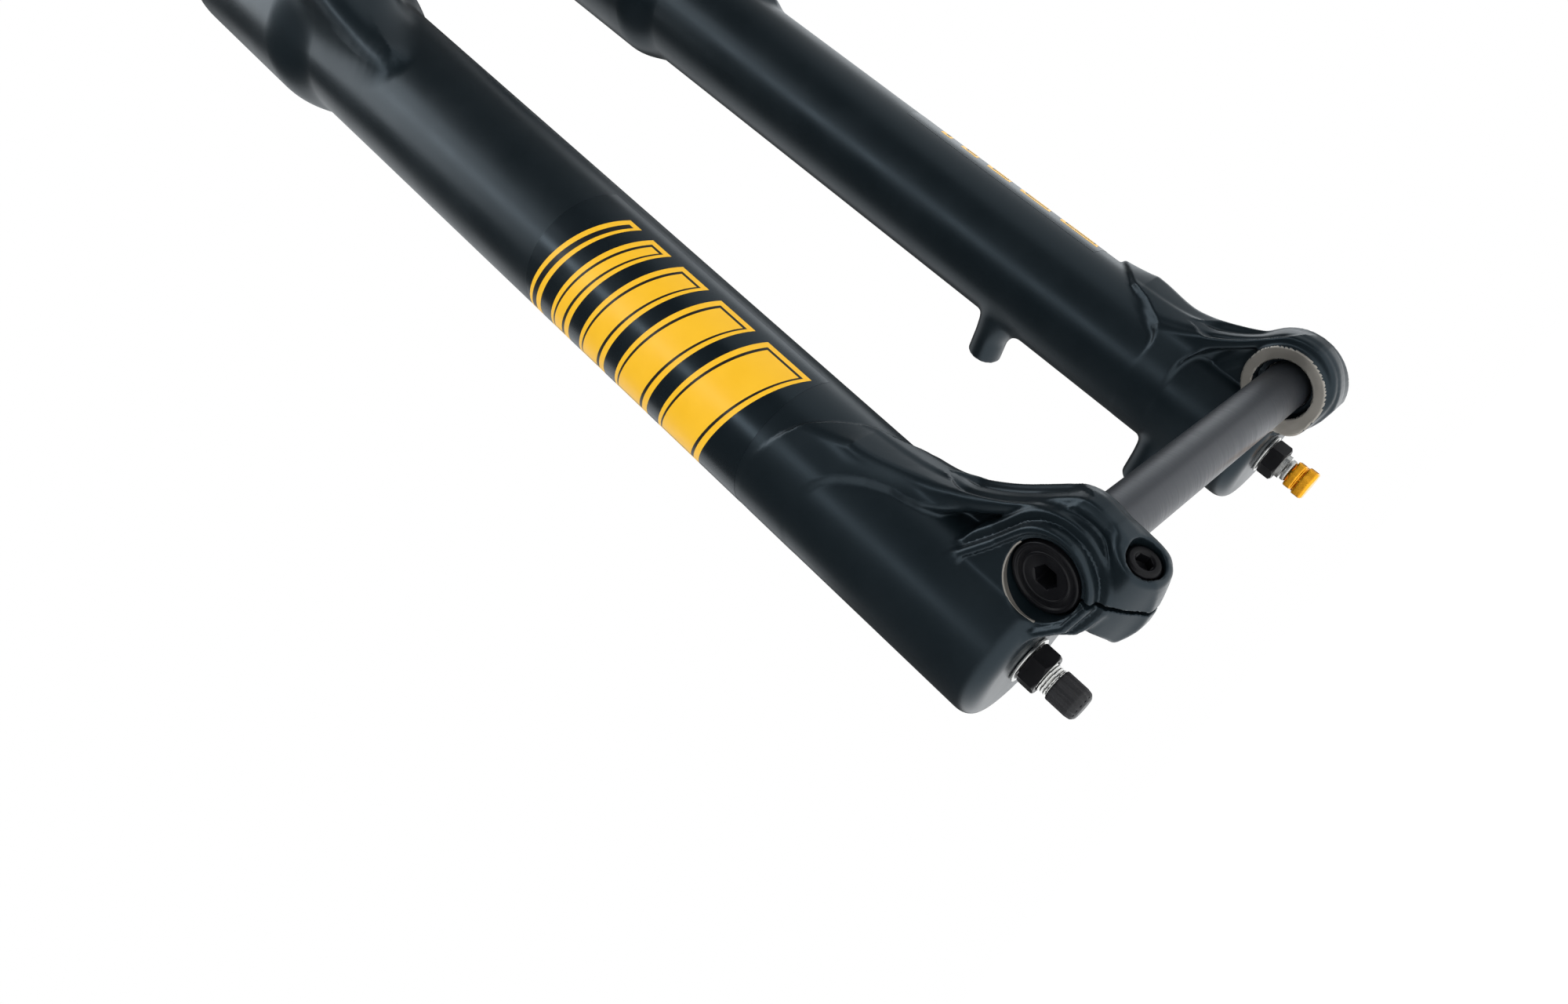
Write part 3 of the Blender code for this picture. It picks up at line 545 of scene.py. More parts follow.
# Slot: colour, tint that it drifts to, roughness range, metallic, noise stretch (x, y, z) for
# each metre, bump noise for each metre, bump height in millimetres
FINISHES = {
    "lowers_paint": ((0.0040, 0.0070, 0.0092), (0.0056, 0.0090, 0.0114), (0.30, 0.37), 0.0,
                     (60, 60, 60), 1900, 0.006),
    "crown_black": ((0.010, 0.011, 0.013), (0.016, 0.017, 0.019), (0.34, 0.44), 0.35,
                    (90, 90, 90), 2600, 0.008),
    "steerer_alloy": ((0.030, 0.031, 0.034), (0.045, 0.046, 0.050), (0.36, 0.50), 0.7,
                      (60, 60, 900), 2400, 0.004),
    "stanchion_coat": ((0.030, 0.027, 0.026), (0.042, 0.038, 0.036), (0.14, 0.22), 0.9,
                       (40, 40, 1800), 5000, 0.001),
    "black_anodised": ((0.003, 0.003, 0.004), (0.006, 0.006, 0.007), (0.30, 0.42), 0.0,
                       (200, 200, 200), 3500, 0.004),
    "axle_grey": ((0.030, 0.033, 0.039), (0.044, 0.048, 0.056), (0.36, 0.48), 0.55,
                  (1600, 60, 60), 3800, 0.003),
    "steel": ((0.46, 0.46, 0.45), (0.64, 0.64, 0.62), (0.22, 0.38), 1.0, (300, 300, 1200), 4000, 0.004),
    "bare_alloy": ((0.24, 0.225, 0.20), (0.33, 0.31, 0.28), (0.38, 0.55), 0.75,
                   (500, 120, 120), 3600, 0.008),
    "gold_anodised": ((0.80, 0.34, 0.012), (0.92, 0.43, 0.02), (0.26, 0.36), 0.75,
                      (200, 200, 200), 3500, 0.004),
    "black_plastic": ((0.008, 0.008, 0.010), (0.014, 0.014, 0.016), (0.42, 0.56), 0.0,
                      (150, 150, 150), 2600, 0.010),
    "seal_rubber": ((0.009, 0.009, 0.009), (0.016, 0.016, 0.015), (0.60, 0.78), 0.0,
                    (150, 150, 150), 2200, 0.014),
    "bushing_polymer": ((0.13, 0.12, 0.11), (0.19, 0.18, 0.16), (0.5, 0.65), 0.0,
                        (200, 200, 200), 2200, 0.010),
    "foam": ((0.38, 0.36, 0.30), (0.50, 0.47, 0.40), (0.9, 1.0), 0.0, (900, 900, 900), 1400, 0.120),
    "graphic_yellow": ((0.94, 0.50, 0.018), (1.0, 0.56, 0.030), (0.34, 0.42), 0.0,
                       (120, 120, 120), 2600, 0.003),
    "graphic_black": ((0.006, 0.007, 0.008), (0.009, 0.010, 0.011), (0.32, 0.40), 0.0,
                      (120, 120, 120), 2600, 0.003),
    "graphic_film": ((0.0042, 0.0072, 0.0094), (0.0056, 0.0090, 0.0114), (0.23, 0.29), 0.0,
                     (60, 60, 60), 2600, 0.003),
    "studio_floor": ((0.90, 0.90, 0.90), (0.93, 0.93, 0.93), (0.8, 0.9), 0.0, (6, 6, 6), 300, 0.010),
}
SHEEN = {"lowers_paint": 0.37, "graphic_film": 0.40, "graphic_yellow": 0.34, "graphic_black": 0.34,
         "crown_black": 0.4, "black_plastic": 0.4, "black_anodised": 0.14, "studio_floor": 0.1}
GLOW = {"studio_floor": 0.95}
COOL = {"lowers_paint", "graphic_film"}
COOL_TINT = (0.70, 0.87, 1.0, 1.0)
SLOT_OF = {row["node"]: row["material_slot"] for row in frame["record"]["subparts"]}


def finish(slot):
    """The procedural material of a slot, made once: its colour and roughness drift together over
    the surface, under a fine grain."""
    name = "look_" + slot
    if name in bpy.data.materials:
        return bpy.data.materials[name]
    colour, tint, roughness, metallic, stretch, grain, height = FINISHES[slot]
    material = bpy.data.materials.new(name)
    material.use_nodes = True
    nodes, links = material.node_tree.nodes, material.node_tree.links
    shader = nodes["Principled BSDF"]
    shader.inputs["Metallic"].default_value = metallic
    shader.inputs["Specular IOR Level"].default_value = SHEEN.get(slot, 0.5)
    if slot in COOL:
        shader.inputs["Specular Tint"].default_value = COOL_TINT
    if slot in GLOW:
        shader.inputs["Emission Color"].default_value = (1, 1, 1, 1)
        shader.inputs["Emission Strength"].default_value = GLOW[slot]
    place = nodes.new("ShaderNodeTexCoord")
    scaled = nodes.new("ShaderNodeMapping")
    scaled.inputs["Scale"].default_value = stretch
    links.new(place.outputs["Object"], scaled.inputs["Vector"])
    drift = nodes.new("ShaderNodeTexNoise")
    drift.inputs["Scale"].default_value = 1.0
    drift.inputs["Detail"].default_value = 5.0
    links.new(scaled.outputs["Vector"], drift.inputs["Vector"])
    mix = nodes.new("ShaderNodeMix")
    mix.data_type = "RGBA"
    mix.inputs["A"].default_value = (*colour, 1.0)
    mix.inputs["B"].default_value = (*tint, 1.0)
    links.new(drift.outputs["Fac"], mix.inputs["Factor"])
    links.new(mix.outputs["Result"], shader.inputs["Base Color"])
    spread = nodes.new("ShaderNodeMapRange")
    spread.inputs["From Min"].default_value = 0.3
    spread.inputs["From Max"].default_value = 0.7
    spread.inputs["To Min"].default_value = roughness[0]
    spread.inputs["To Max"].default_value = roughness[1]
    links.new(drift.outputs["Fac"], spread.inputs["Value"])
    links.new(spread.outputs["Result"], shader.inputs["Roughness"])
    fine = nodes.new("ShaderNodeTexNoise")
    fine.inputs["Scale"].default_value = grain
    fine.inputs["Detail"].default_value = 3.0
    links.new(place.outputs["Object"], fine.inputs["Vector"])
    bump = nodes.new("ShaderNodeBump")
    bump.inputs["Strength"].default_value = 1.0
    bump.inputs["Distance"].default_value = height * MM
    links.new(fine.outputs["Fac"], bump.inputs["Height"])
    links.new(bump.outputs["Normal"], shader.inputs["Normal"])
    return material


def stand_in(piece, node, *extra_slots):
    """The piece takes a CAD node's place, body and finish."""
    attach(piece, frame["nodes"][node]["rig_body"])
    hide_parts(node)
    piece.data.materials.clear()
    for slot in (SLOT_OF[node], *extra_slots):
        piece.data.materials.append(finish(slot))
    return piece


def dress_frame():
    """Every CAD node that still shows gets its slot's procedural finish."""
    for node, obj in frame["nodes"].items():
        for slot in obj.material_slots:
            slot.material = finish(SLOT_OF[node])


# ---------------------------------------------------------------- turned pieces

def soften(outline, radius, closed):
    """Rounds the corners of an outline of (radius, height) points."""
    rounded = []
    count = len(outline)
    for n, point in enumerate(outline):
        here = Vector(point)
        if not closed and n in (0, count - 1):
            rounded.append(here)
            continue
        before, after = Vector(outline[n - 1]) - here, Vector(outline[(n + 1) % count]) - here
        reach = min(radius, 0.4 * before.length, 0.4 * after.length)
        a, b = here + before.normalized() * reach, here + after.normalized() * reach
        rounded += [a, a * 0.25 + here * 0.5 + b * 0.25, b]
    return rounded


def divide(outline, spacing, closed):
    """Adds points along the outline so that none are further apart than the spacing."""
    finer = []
    ends = outline[1:] + (outline[:1] if closed else [])
    for a, b in zip(outline, ends):
        parts = max(1, math.ceil((b - a).length / spacing))
        finer += [a.lerp(b, n / parts) for n in range(parts)]
    return finer if closed else finer + [outline[-1]]


def turned(name, outline, centre, direction=(0, 0, 1), steps=96, corner=0.3, warp=None, spacing=None):
    """A smooth turned body about a line through centre. Its outline has (radius, height) points:
    it either starts and ends on the axis or closes into a ring. warp(radius, height, angle)
    gives a new radius, for flats, flutes, sockets and threads."""
    closed = outline[0][0] > 0
    path = soften(outline, corner, closed)
    if spacing:
        path = divide(path, spacing, closed)
    turn = Vector((0, 0, 1)).rotation_difference(Vector(direction)).to_matrix()
    centre = Vector(centre)
    vertices, rings = [], []
    for point in path:
        if point.x < 1e-6:
            rings.append([len(vertices)] * steps)
            vertices.append((centre + turn @ Vector((0, 0, point.y))) * MM)
            continue
        rings.append(list(range(len(vertices), len(vertices) + steps)))
        for n in range(steps):
            angle = math.tau * n / steps
            radius = warp(point.x, point.y, angle) if warp else point.x
            spot = Vector((radius * math.cos(angle), radius * math.sin(angle), point.y))
            vertices.append((centre + turn @ spot) * MM)
    pairs = list(zip(rings, rings[1:])) + ([(rings[-1], rings[0])] if closed else [])
    loop = path + ([path[0]] if closed else [])
    area = sum(a.x * b.y - b.x * a.y for a, b in zip(loop, loop[1:]))
    faces = []
    for low, high in pairs:
        for n in range(steps):
            m = (n + 1) % steps
            corners = [low[n], low[m], high[m], high[n]]
            corners = list(dict.fromkeys(corners if area > 0 else corners[::-1]))
            if len(corners) > 2:
                faces.append(corners)
    return add_mesh(name, vertices, faces, 38)


def hexagon(angle, apothem):
    return apothem / math.cos((angle % (math.pi / 3)) - math.pi / 6)


def socket(reach, apothem, outside=None):
    """A warp that makes everything within a radius hexagonal, and may shape the rest too."""
    def warp(radius, height, angle):
        if radius <= reach + 1e-4:
            return radius * hexagon(angle, apothem) / reach
        return outside(radius, height, angle) if outside else radius
    return warp


def hex_nut(apothem, beyond):
    def warp(radius, height, angle):
        return min(radius, hexagon(angle, apothem)) if radius > beyond else radius
    return warp


def flutes(count, depth, beyond, sharpness=1.0):
    def warp(radius, height, angle):
        if radius <= beyond:
            return radius
        wave = (0.5 + 0.5 * math.cos(count * angle)) ** sharpness
        return radius - depth * wave
    return warp


def thread(pitch, depth, radius_at, low, high):
    """A screw thread cut into everything at one radius between two heights."""
    def warp(radius, height, angle):
        if abs(radius - radius_at) > 0.02 or not low < height < high:
            return radius
        phase = (height / pitch + angle / math.tau) % 1.0
        return radius - depth * abs(2 * phase - 1)
    return warp


def at_leg(side, height=0.0):
    return AXLE + Vector((SIDES[side] * LEG_X, LEG_Y, height))


def at_stanchion(side):
    return Vector((SIDES[side] * LEG_X, LEG_Y + AXLE.y, 0.0))


def make_axle():
    """The through axle: a grey tube, and a black head with turned rings round its key socket."""
    key = 3.0 / math.cos(math.pi / 6)
    outline = [(0, -62.5), (key, -62.5), (key, -69.9), (5.9, -69.9), (6.1, -70.1), (6.5, -70.1),
               (6.7, -69.9), (8.0, -69.9), (8.2, -70.4), (9.0, -70.4), (9.3, -70.1), (9.3, -60.4),
               (7.5, -60.4), (7.5, 66.5), (6.5, 67.5), (5.2, 67.5), (5.2, -48), (0, -48)]
    axle = turned("through_axle", outline, AXLE, (1, 0, 0), corner=0.25, warp=socket(key, 3.0))
    stand_in(axle, "axle", "black_anodised")
    for face in axle.data.polygons:
        face.material_index = 1 if face.center.x < -0.0601 else 0
    outline = [(7.8, INSERT_LOW + 0.3), (9.5, INSERT_LOW + 0.3), (9.5, 70.7), (7.8, 70.7)]
    insert = turned("thread_insert", outline, AXLE, (1, 0, 0), corner=0.3)
    stand_in(insert, "axle_thread_insert")


def make_bore_edge():
    """The bare machined edge of the axle's bore, on a crescent where the land rises towards the leg. The bare
    metal is real; the crescent outline, thickest in its middle and tapering to its ends, is a painted
    highlight.
    """
    steps = 48
    vertices = []
    for n in range(steps + 1):
        # The arc and the taper of the bare band are a painted highlight: bare metal laid only where the light
        # catches the edge.
        angle = math.radians(-25 + 140 * n / steps)
        depth = 0.15 + 1.1 * math.sin(math.pi * n / steps)
        for radius, lift in ((HEAD_HOLE_R - 0.08, -depth), (HEAD_HOLE_R - 0.08, 0.02),
                             (HEAD_HOLE_R + 0.32, 0.08), (HEAD_HOLE_R + 0.32, -depth)):
            y, z = radius * math.cos(angle), radius * math.sin(angle)
            vertices.append((AXLE + Vector((-float(land_face(y)) - lift, y, z))) * MM)
    faces = [(0, 1, 2, 3), tuple(4 * steps + k for k in (3, 2, 1, 0))]
    for n in range(steps):
        for k in range(4):
            a, b = 4 * n + k, 4 * n + (k + 1) % 4
            faces.append((a, a + 4, b + 4, b))
    edge = add_mesh("bore_edge_metal_and_highlight", vertices, faces, 40)
    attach(edge, "lowers")
    edge.data.materials.append(finish("bare_alloy"))


def make_pinch_bolt():
    place = Vector((-PINCH_U, PINCH_Y, PINCH_Z))
    direction = (0, -math.cos(PINCH_TILT), -math.sin(PINCH_TILT))
    key = 2.0 / math.cos(math.pi / 6)
    under, top = PINCH_SEAT + 0.3, PINCH_SEAT + 4.8
    outline = [(0, PINCH_SEAT - 17), (2.2, PINCH_SEAT - 17), (2.6, PINCH_SEAT - 16.4), (2.6, under),
               (4.4, under), (4.4, top - 0.5), (3.9, top), (key + 0.35, top), (key, top - 0.35),
               (key, top - 2.9), (0, top - 2.9)]
    bolt = turned("clamp_bolt", outline, AXLE + place, direction, corner=0.12, warp=socket(key, 2.0))
    stand_in(bolt, "pinch_bolt")


def make_foot_hardware():
    for side in SIDES:
        centre = at_leg(side)
        outline = [(5.2, FOOT_LOW - 0.3), (6.9, FOOT_LOW - 0.3), (6.9, FOOT_LOW - 1), (5.2, FOOT_LOW - 1)]
        stand_in(turned("foot_washer_" + side, outline, centre, corner=0.15), "crush_washer_" + side)
        outline = [(4.5, -6.9), (6.0, -6.9), (6.35, -7.3), (6.35, -11.6), (5.6, -12.2), (4.5, -12.2)]
        nut = turned("foot_nut_" + side + "_detail", outline, centre, corner=0.12,
                     warp=hex_nut(5.5, 5.2), spacing=0.35)
        stand_in(nut, "foot_nut_" + side)


def make_air_foot():
    """The air shaft, whose threaded end stands out under the right foot, and its ribbed cap."""
    centre = at_leg("right")
    top = (middle("air_shaft") + size("air_shaft") / 2).z - AXLE.z
    threaded = 4.15
    rings = [(threaded, float(height)) for height in np.arange(-14.8, -3.0, 0.15)]
    outline = ([(1.6, -20.5), (3.3, -20.5), (3.3, -14.8)] + rings
               + [(threaded, -3), (5.0, -3), (5.0, top), (1.6, top)])
    shaft = turned("air_shaft_detail", outline, centre, corner=0.02,
                   warp=thread(0.9, 0.4, threaded, -15.0, -3.2))
    stand_in(shaft, "air_shaft")
    outline = [(0, -22.2), (3.6, -22.2), (3.6, -15.1), (4.3, -15.1), (4.5, -15.5), (4.5, -21.6), (4.2, -23.1),
               (3.2, -23.9), (2.0, -24.0), (0, -24.0)]
    cap = turned("valve_cap_lower", outline, centre, steps=144, corner=0.25,
                 warp=flutes(14, 0.42, 3.9, 0.7), spacing=0.5)
    stand_in(cap, "valve_cap_bottom")


def make_rebound():
    """The rebound adjuster under the left foot: a bright collar and a gold knob of two steps."""
    centre = at_leg("left")
    outline = [(0, -21.5), (1.3, -21.5), (1.3, -16.0), (3.4, -16.0), (3.8, -15.6), (3.8, -14.4), (3.5, -14.1),
               (1.3, -14.1), (1.3, 12), (0, 12)]
    stand_in(turned("rebound_shaft_detail", outline, centre, corner=0.1), "rebound_shaft")
    outline = [(0, -21.8), (1.6, -21.8), (1.6, -16.3), (4.7, -16.3), (5.0, -16.7), (5.0, -19.0),
               (4.55, -19.3), (4.55, -19.8), (5.5, -20.2), (5.5, -23.2), (5.0, -23.8), (0, -23.8)]
    knob = turned("rebound_knob_detail", outline, centre, steps=144, corner=0.2,
                  warp=flutes(6, 0.6, 4.6), spacing=0.6)
    stand_in(knob, "rebound_knob")


def make_stanchions():
    """Both tubes with their wiper seals, and the travel ring on the right one."""
    for side in SIDES:
        inside = STANCHION_R - 1.6
        outline = [(inside, STANCHION_LOW), (STANCHION_R, STANCHION_LOW), (STANCHION_R, STANCHION_HIGH),
                   (inside, STANCHION_HIGH)]
        tube = turned("stanchion_tube_" + side, outline, at_stanchion(side), steps=144, corner=0.4)
        stand_in(tube, "stanchion_" + side)
        leg_top = AXLE.z + LEG_TOP
        inner, outer = STANCHION_R + 0.3, SEAT_R - 0.4
        low = AXLE.z + SEAT_LOW + 6.8
        outline = [(inner, low), (outer, low), (outer, leg_top + 0.3), (24.4, leg_top + 0.3),
                   (24.4, leg_top + 2.6), (23.6, leg_top + 3.4), (22.4, leg_top + 3.6), (22.0, leg_top + 4.4),
                   (20.9, leg_top + 4.4), (20.6, leg_top + 5.2), (19.6, leg_top + 7.6), (18.9, leg_top + 8.0),
                   (inner, leg_top + 8.0)]
        wiper = turned("wiper_" + side, outline, at_stanchion(side), steps=144, corner=0.35)
        stand_in(wiper, "wiper_seal_" + side)
    low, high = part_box("travel_ring")
    thick = (high.z - low.z) / MM / 2
    centre = at_stanchion("right") + Vector((0, 0, middle("travel_ring").z))
    section = [(STANCHION_R + 0.15 + thick * (1 + math.cos(a)), thick * math.sin(a))
               for a in np.arange(12) * math.tau / 12]
    stand_in(turned("sag_ring", section, centre, steps=144, corner=0.05), "travel_ring")


def make_steerer():
    """Tapered, with fine turned marks at the top where it is cut to length."""
    outline = [(16.4, STEERER_LOW), (20.0, STEERER_LOW), (20.0, 12), (19.2, 18), (14.9, 78), (14.3, 88),
               (14.3, STEERER_TOP), (12.2, STEERER_TOP), (12.2, 80), (16.4, 5)]
    stand_in(turned("steerer", outline, (0, 0, 0), steps=144, corner=1.2), "steerer_tube")


def make_left_top():
    """The damper's top cap with its two dials."""
    centre = at_stanchion("left")
    outline = [(3.3, -30), (STANCHION_R - 1.9, -30), (STANCHION_R - 1.9, -7.7), (17.7, -7.7), (17.7, -4.3),
               (16.9, -3.5), (6.0, -3.5), (6.0, 4.2), (3.3, 4.2)]
    cap = turned("damper_cap", outline, centre, steps=144, corner=0.3,
                 warp=flutes(12, 0.7, 16.3, 3.0), spacing=1.0)
    stand_in(cap, "damper_top_cap")
    outline = [(6.3, -3.2), (13.1, -3.2), (13.5, -2.8), (13.5, 2.6), (12.3, 3.8), (6.3, 3.8)]
    dial = turned("high_speed_dial_detail", outline, centre, steps=144, corner=0.3,
                  warp=flutes(10, 0.9, 11.0, 2.0), spacing=1.0)
    stand_in(dial, "high_speed_dial")
    outline = [(0, -15), (3.0, -15), (3.0, 4.5), (8.2, 4.5), (8.6, 4.9), (8.6, 8.6), (7.6, 9.6), (2.6, 9.6),
               (2.2, 9.0), (0, 9.0)]
    knob = turned("low_speed_dial_detail", outline, centre, steps=144, corner=0.25,
                  warp=flutes(8, 0.8, 7.0, 2.0), spacing=1.0)
    stand_in(knob, "low_speed_dial")


def make_right_top():
    """The air spring's top cap with its valve and the valve's cap."""
    centre = at_stanchion("right")
    outline = [(4.2, -24), (STANCHION_R - 1.9, -24), (STANCHION_R - 1.9, -7.7), (17.7, -7.7), (17.7, -4.4),
               (15.5, -2.0), (4.2, -2.0)]
    cap = turned("air_cap", outline, centre, steps=144, corner=0.4,
                 warp=flutes(12, 0.7, 16.3, 3.0), spacing=1.0)
    stand_in(cap, "air_top_cap")
    outline = [(0, -20), (3.85, -20), (3.85, 5.2), (1.6, 5.2), (1.6, -10), (0, -10)]
    stand_in(turned("valve_stem_detail", outline, centre, corner=0.15), "valve_stem_top")
    outline = [(0, 5.6), (4.2, 5.6), (4.2, -1.6), (5.6, -1.6), (5.9, -1.2), (5.9, 7.4), (4.8, 9.0),
               (3.2, 9.0), (0, 9.0)]
    cover = turned("valve_cap_upper", outline, centre, steps=144, corner=0.3,
                   warp=flutes(16, 0.4, 4.9, 0.7), spacing=0.8)
    stand_in(cover, "valve_cap_top")


# ---------------------------------------------------------------- graphics

def leg_radius(height):
    return LEG_R + (LEG_R_TOP - LEG_R) * height / COLLAR_LOW


def wrapped_patch(name, sign, corners, thickness, across, up):
    """A thin closed sheet on a leg: four corners as (angle in degrees, height), round the leg."""
    (a0, z0), (a1, z1), (a2, z2), (a3, z3) = corners
    layers = []
    vertices = []
    for lift in (0.0, thickness):
        rows = []
        for j in range(up + 1):
            v = j / up
            row = []
            for i in range(across + 1):
                w = i / across
                angle = (1 - v) * ((1 - w) * a0 + w * a1) + v * ((1 - w) * a3 + w * a2)
                height = (1 - v) * ((1 - w) * z0 + w * z1) + v * ((1 - w) * z3 + w * z2)
                turn = math.radians(angle)
                reach = leg_radius(height) + lift
                row.append(len(vertices))
                vertices.append((AXLE + Vector((sign * (LEG_X - reach * math.cos(turn)),
                                                LEG_Y + reach * math.sin(turn), height))) * MM)
            rows.append(row)
        layers.append(rows)
    faces = []
    low, high = layers
    for j in range(up):
        for i in range(across):
            faces.append((low[j][i], low[j][i + 1], low[j + 1][i + 1], low[j + 1][i]))
            faces.append((high[j][i], high[j + 1][i], high[j + 1][i + 1], high[j][i + 1]))
    rim = ([(0, i) for i in range(across)] + [(j, across) for j in range(up)]
           + [(up, i) for i in range(across, 0, -1)] + [(j, 0) for j in range(up, 0, -1)])
    for (j, i), (m, n) in zip(rim, rim[1:] + rim[:1]):
        faces.append((low[m][n], low[j][i], high[j][i], high[m][n]))
    patch = add_mesh(name, vertices, faces, 40)
    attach(patch, "lowers")
    return patch


# Stripes of the graphic: (lower edge, height) in millimetres above the axle, then the angles that
# they run between on the leg in degrees, and how far their rear ends stand higher
STRIPES = ((82, 17), (104, 14), (123, 11), (139, 8), (152, 5))
STRIPE_FROM = 84.0
STRIPE_TO = 212.0
STRIPE_RISE = 14.0
STRIPE_LAYERS = ((0.0, "graphic_yellow"), (1.6, "graphic_black"), (2.4, "graphic_yellow"))
LEFT_TURN = -22.0


def make_graphics():
    """A fading stack of slanted stripes on the outer side of each leg, on a thin clear film."""
    for side, sign in SIDES.items():
        turn = 0.0 if side == "right" else LEFT_TURN
        film = [(turn - 222, 80), (turn - 70, 80), (turn - 70, 170), (turn - 222, 170)]
        patch = wrapped_patch("graphic_film_" + side, sign, film, 0.05, 48, 24)
        patch.data.materials.append(finish("graphic_film"))
        for number, (low, height) in enumerate(STRIPES):
            for layer, (inset, slot) in enumerate(STRIPE_LAYERS):
                if height - 2 * inset < 1.5:
                    continue
                margin = math.degrees(inset / LEG_R)
                start, end = turn + margin - STRIPE_TO, turn - STRIPE_FROM - margin
                corners = [(start, low + inset + STRIPE_RISE), (end, low + inset),
                           (end, low + height - inset), (start, low + height - inset + STRIPE_RISE)]
                name = "graphic_stripe_%s_%d_%d" % (side, number + 1, layer + 1)
                patch = wrapped_patch(name, sign, corners, 0.08 + 0.03 * layer, 32, 4)
                patch.data.materials.append(finish(slot))


# ---------------------------------------------------------------- the small clip on the arch

def make_hose_guide():
    """The clip with the channel for a brake hose, and the screw that holds it to the arch."""
    low, high = (Vector(v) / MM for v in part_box("hose_guide"))
    screw = middle("hose_guide_screw")
    channel_x = (low.x + high.x) / 2 + 2.6
    channel_y = (low.y + high.y) / 2 - 1.1

    def field(p):
        x, y, z = p[..., 0], p[..., 1], p[..., 2]
        body = smooth_max(slab(x, low.x, high.x), slab(z, low.z, high.z), 3.0)
        body = smooth_max(body, slab(y, low.y, high.y), 1.4)
        channel = np.hypot(x - channel_x, y - channel_y) - 2.7
        bore = np.hypot(x - screw.x, z - screw.z) - 1.5
        return smooth_max(smooth_max(body, -channel, 0.5), -bore, 0.3)

    xs, ys, zs = (np.arange(low[n] - 1, high[n] + 1, 0.33) for n in range(3))
    grid = np.stack(np.meshgrid(xs, ys, zs, indexing="ij"), -1)
    points, faces = surface_net(xs, ys, zs, field(grid))
    points = settle(field, points, 0.2)
    guide = sculpt("hose_clip", points, faces, field, 30000, (0, 0, 0), 0.1)
    stand_in(guide, "hose_guide")
    front, back = (corner.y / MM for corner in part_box("hose_guide_screw"))
    length = back - front
    outline = [(0, 0), (0.9, 0), (1.2, 0.4), (1.2, length - 1.8), (2.3, length - 1.8), (2.3, length - 0.7),
               (1.7, length), (1.15, length), (1.15, length - 1.1), (0, length - 1.1)]
    bolt = turned("hose_clip_screw", outline, (screw.x, back, screw.z), (0, -1, 0), steps=48, corner=0.1,
                  warp=socket(1.15, 1.0))
    stand_in(bolt, "hose_guide_screw")


# ---------------------------------------------------------------- casting and crown in place

def dress_casting():
    """The casting in paint, with bare metal where it is machined."""
    obj = stand_in(make_casting(), "lower_casting", "bare_alloy")
    for face in obj.data.polygons:
        spot = face.center / MM - AXLE
        u, radius = abs(spot.x), math.hypot(spot.y, spot.z)
        hub = HUB_FACE - 1 < u < HUB_FACE + 0.45 and radius < 16 and abs(face.normal.x) > 0.8
        post = spot.x > 0 and spot.y > POST_FACE - 0.3
        if hub or post:
            face.material_index = 1


# ---------------------------------------------------------------- studio

CAMERA_AZIMUTH = math.radians(-43.04)
CAMERA_ELEVATION = math.radians(-17.48)
CAMERA_ROLL = math.radians(-48.51)
CAMERA_DISTANCE = 304.08
CAMERA_TARGET = (-39.63, 36.64, 45.67)
LENS = 24.64
SHIFT = -0.1
FLOOR_BELOW_AXLE = 95.0
SURROUND = 0.07
LIGHT_COLOUR = (0.93, 0.97, 1.0)

# Name, azimuth and elevation in degrees, distance, width and height in metres, radiance
SOFT_BOXES = (
    ("strip", -159, 29, 1.4, 0.16, 1.1, 5.3),
    ("front", -45, 20, 1.6, 3.0, 1.2, 0.75),
    ("right", 2, 32, 1.6, 0.9, 1.2, 1.2),
    ("behind", 95, 38, 1.6, 1.0, 1.2, 0.75),
    ("overhead", -164, 68, 1.4, 1.0, 1.0, 3.4),
)


def make_camera():
    data = bpy.data.cameras.new("camera")
    data.lens = LENS
    data.sensor_width = 36.0
    data.shift_x = SHIFT
    data.clip_start = 0.01
    camera = bpy.data.objects.new("camera", data)
    bpy.context.scene.collection.objects.link(camera)
    back = Vector((math.sin(CAMERA_AZIMUTH) * math.cos(CAMERA_ELEVATION),
                   -math.cos(CAMERA_AZIMUTH) * math.cos(CAMERA_ELEVATION), math.sin(CAMERA_ELEVATION)))
    level = back.cross(Vector((0, 0, -1))).normalized()
    upright = level.cross(-back)
    right = level * math.cos(CAMERA_ROLL) + upright * math.sin(CAMERA_ROLL)
    up = upright * math.cos(CAMERA_ROLL) - level * math.sin(CAMERA_ROLL)
    place = Matrix((right, up, back)).transposed().to_4x4()
    place.translation = (AXLE + Vector(CAMERA_TARGET) + back * CAMERA_DISTANCE) * MM
    camera.matrix_world = place
    bpy.context.scene.camera = camera


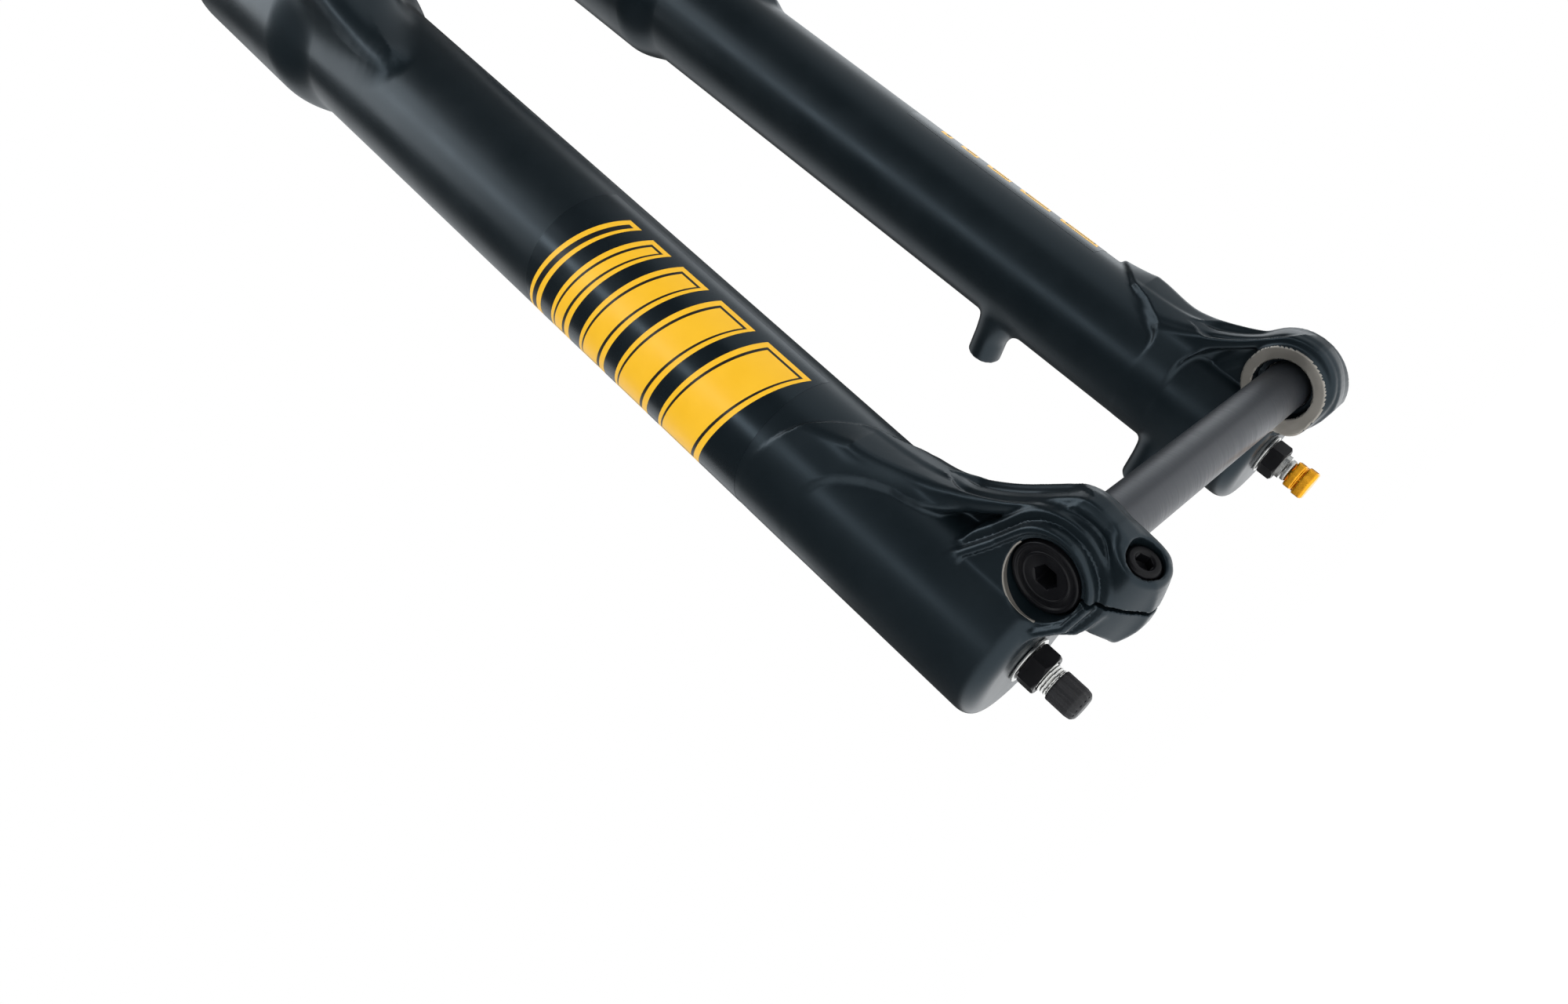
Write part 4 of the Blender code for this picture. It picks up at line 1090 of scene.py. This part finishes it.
def make_floor():
    """A plain white floor, some way below the fork."""
    half = 6.0
    height = (AXLE.z - FLOOR_BELOW_AXLE) * MM
    corners = [(-half, -half, height), (half, -half, height), (half, half, height), (-half, half, height)]
    floor = add_mesh("floor", corners, [(0, 1, 2, 3)])
    floor.data.materials.append(finish("studio_floor"))


def make_light(name, azimuth, elevation, distance, width, height, brightness):
    """A soft box that faces the lower legs, with its brightness as radiance."""
    data = bpy.data.lights.new(name, "AREA")
    data.shape = "RECTANGLE"
    data.size = width
    data.size_y = height
    data.energy = brightness * math.pi * width * height
    data.color = LIGHT_COLOUR
    lamp = bpy.data.objects.new(name, data)
    lamp.visible_camera = False
    azimuth, elevation = math.radians(azimuth), math.radians(elevation)
    direction = Vector((math.cos(azimuth) * math.cos(elevation), math.sin(azimuth) * math.cos(elevation),
                        math.sin(elevation)))
    lamp.location = Vector((0.0, AXLE.y, AXLE.z + 100)) * MM + direction * distance
    lamp.rotation_euler = direction.to_track_quat("Z", "Y").to_euler()
    bpy.context.scene.collection.objects.link(lamp)


def make_studio():
    """White to the camera, with a dim surround and a few soft boxes for the fork to reflect."""
    world = bpy.data.worlds.new("studio")
    bpy.context.scene.world = world
    world.use_nodes = True
    nodes, links = world.node_tree.nodes, world.node_tree.links
    background = nodes["Background"]
    background.inputs["Color"].default_value = (1, 1, 1, 1)
    path = nodes.new("ShaderNodeLightPath")
    level = nodes.new("ShaderNodeMapRange")
    level.inputs["To Min"].default_value = SURROUND
    level.inputs["To Max"].default_value = 1.0
    links.new(path.outputs["Is Camera Ray"], level.inputs["Value"])
    links.new(level.outputs["Result"], background.inputs["Strength"])
    for row in SOFT_BOXES:
        make_light(*row)
    bpy.context.scene.view_settings.view_transform = "Standard"


make_camera()
make_floor()
make_studio()
dress_frame()
dress_casting()
stand_in(make_crown(), "crown")
make_steerer()
make_stanchions()
make_left_top()
make_right_top()
make_axle()
make_bore_edge()
make_pinch_bolt()
make_foot_hardware()
make_air_foot()
make_rebound()
make_hose_guide()
make_graphics()
bpy.context.view_layer.update()
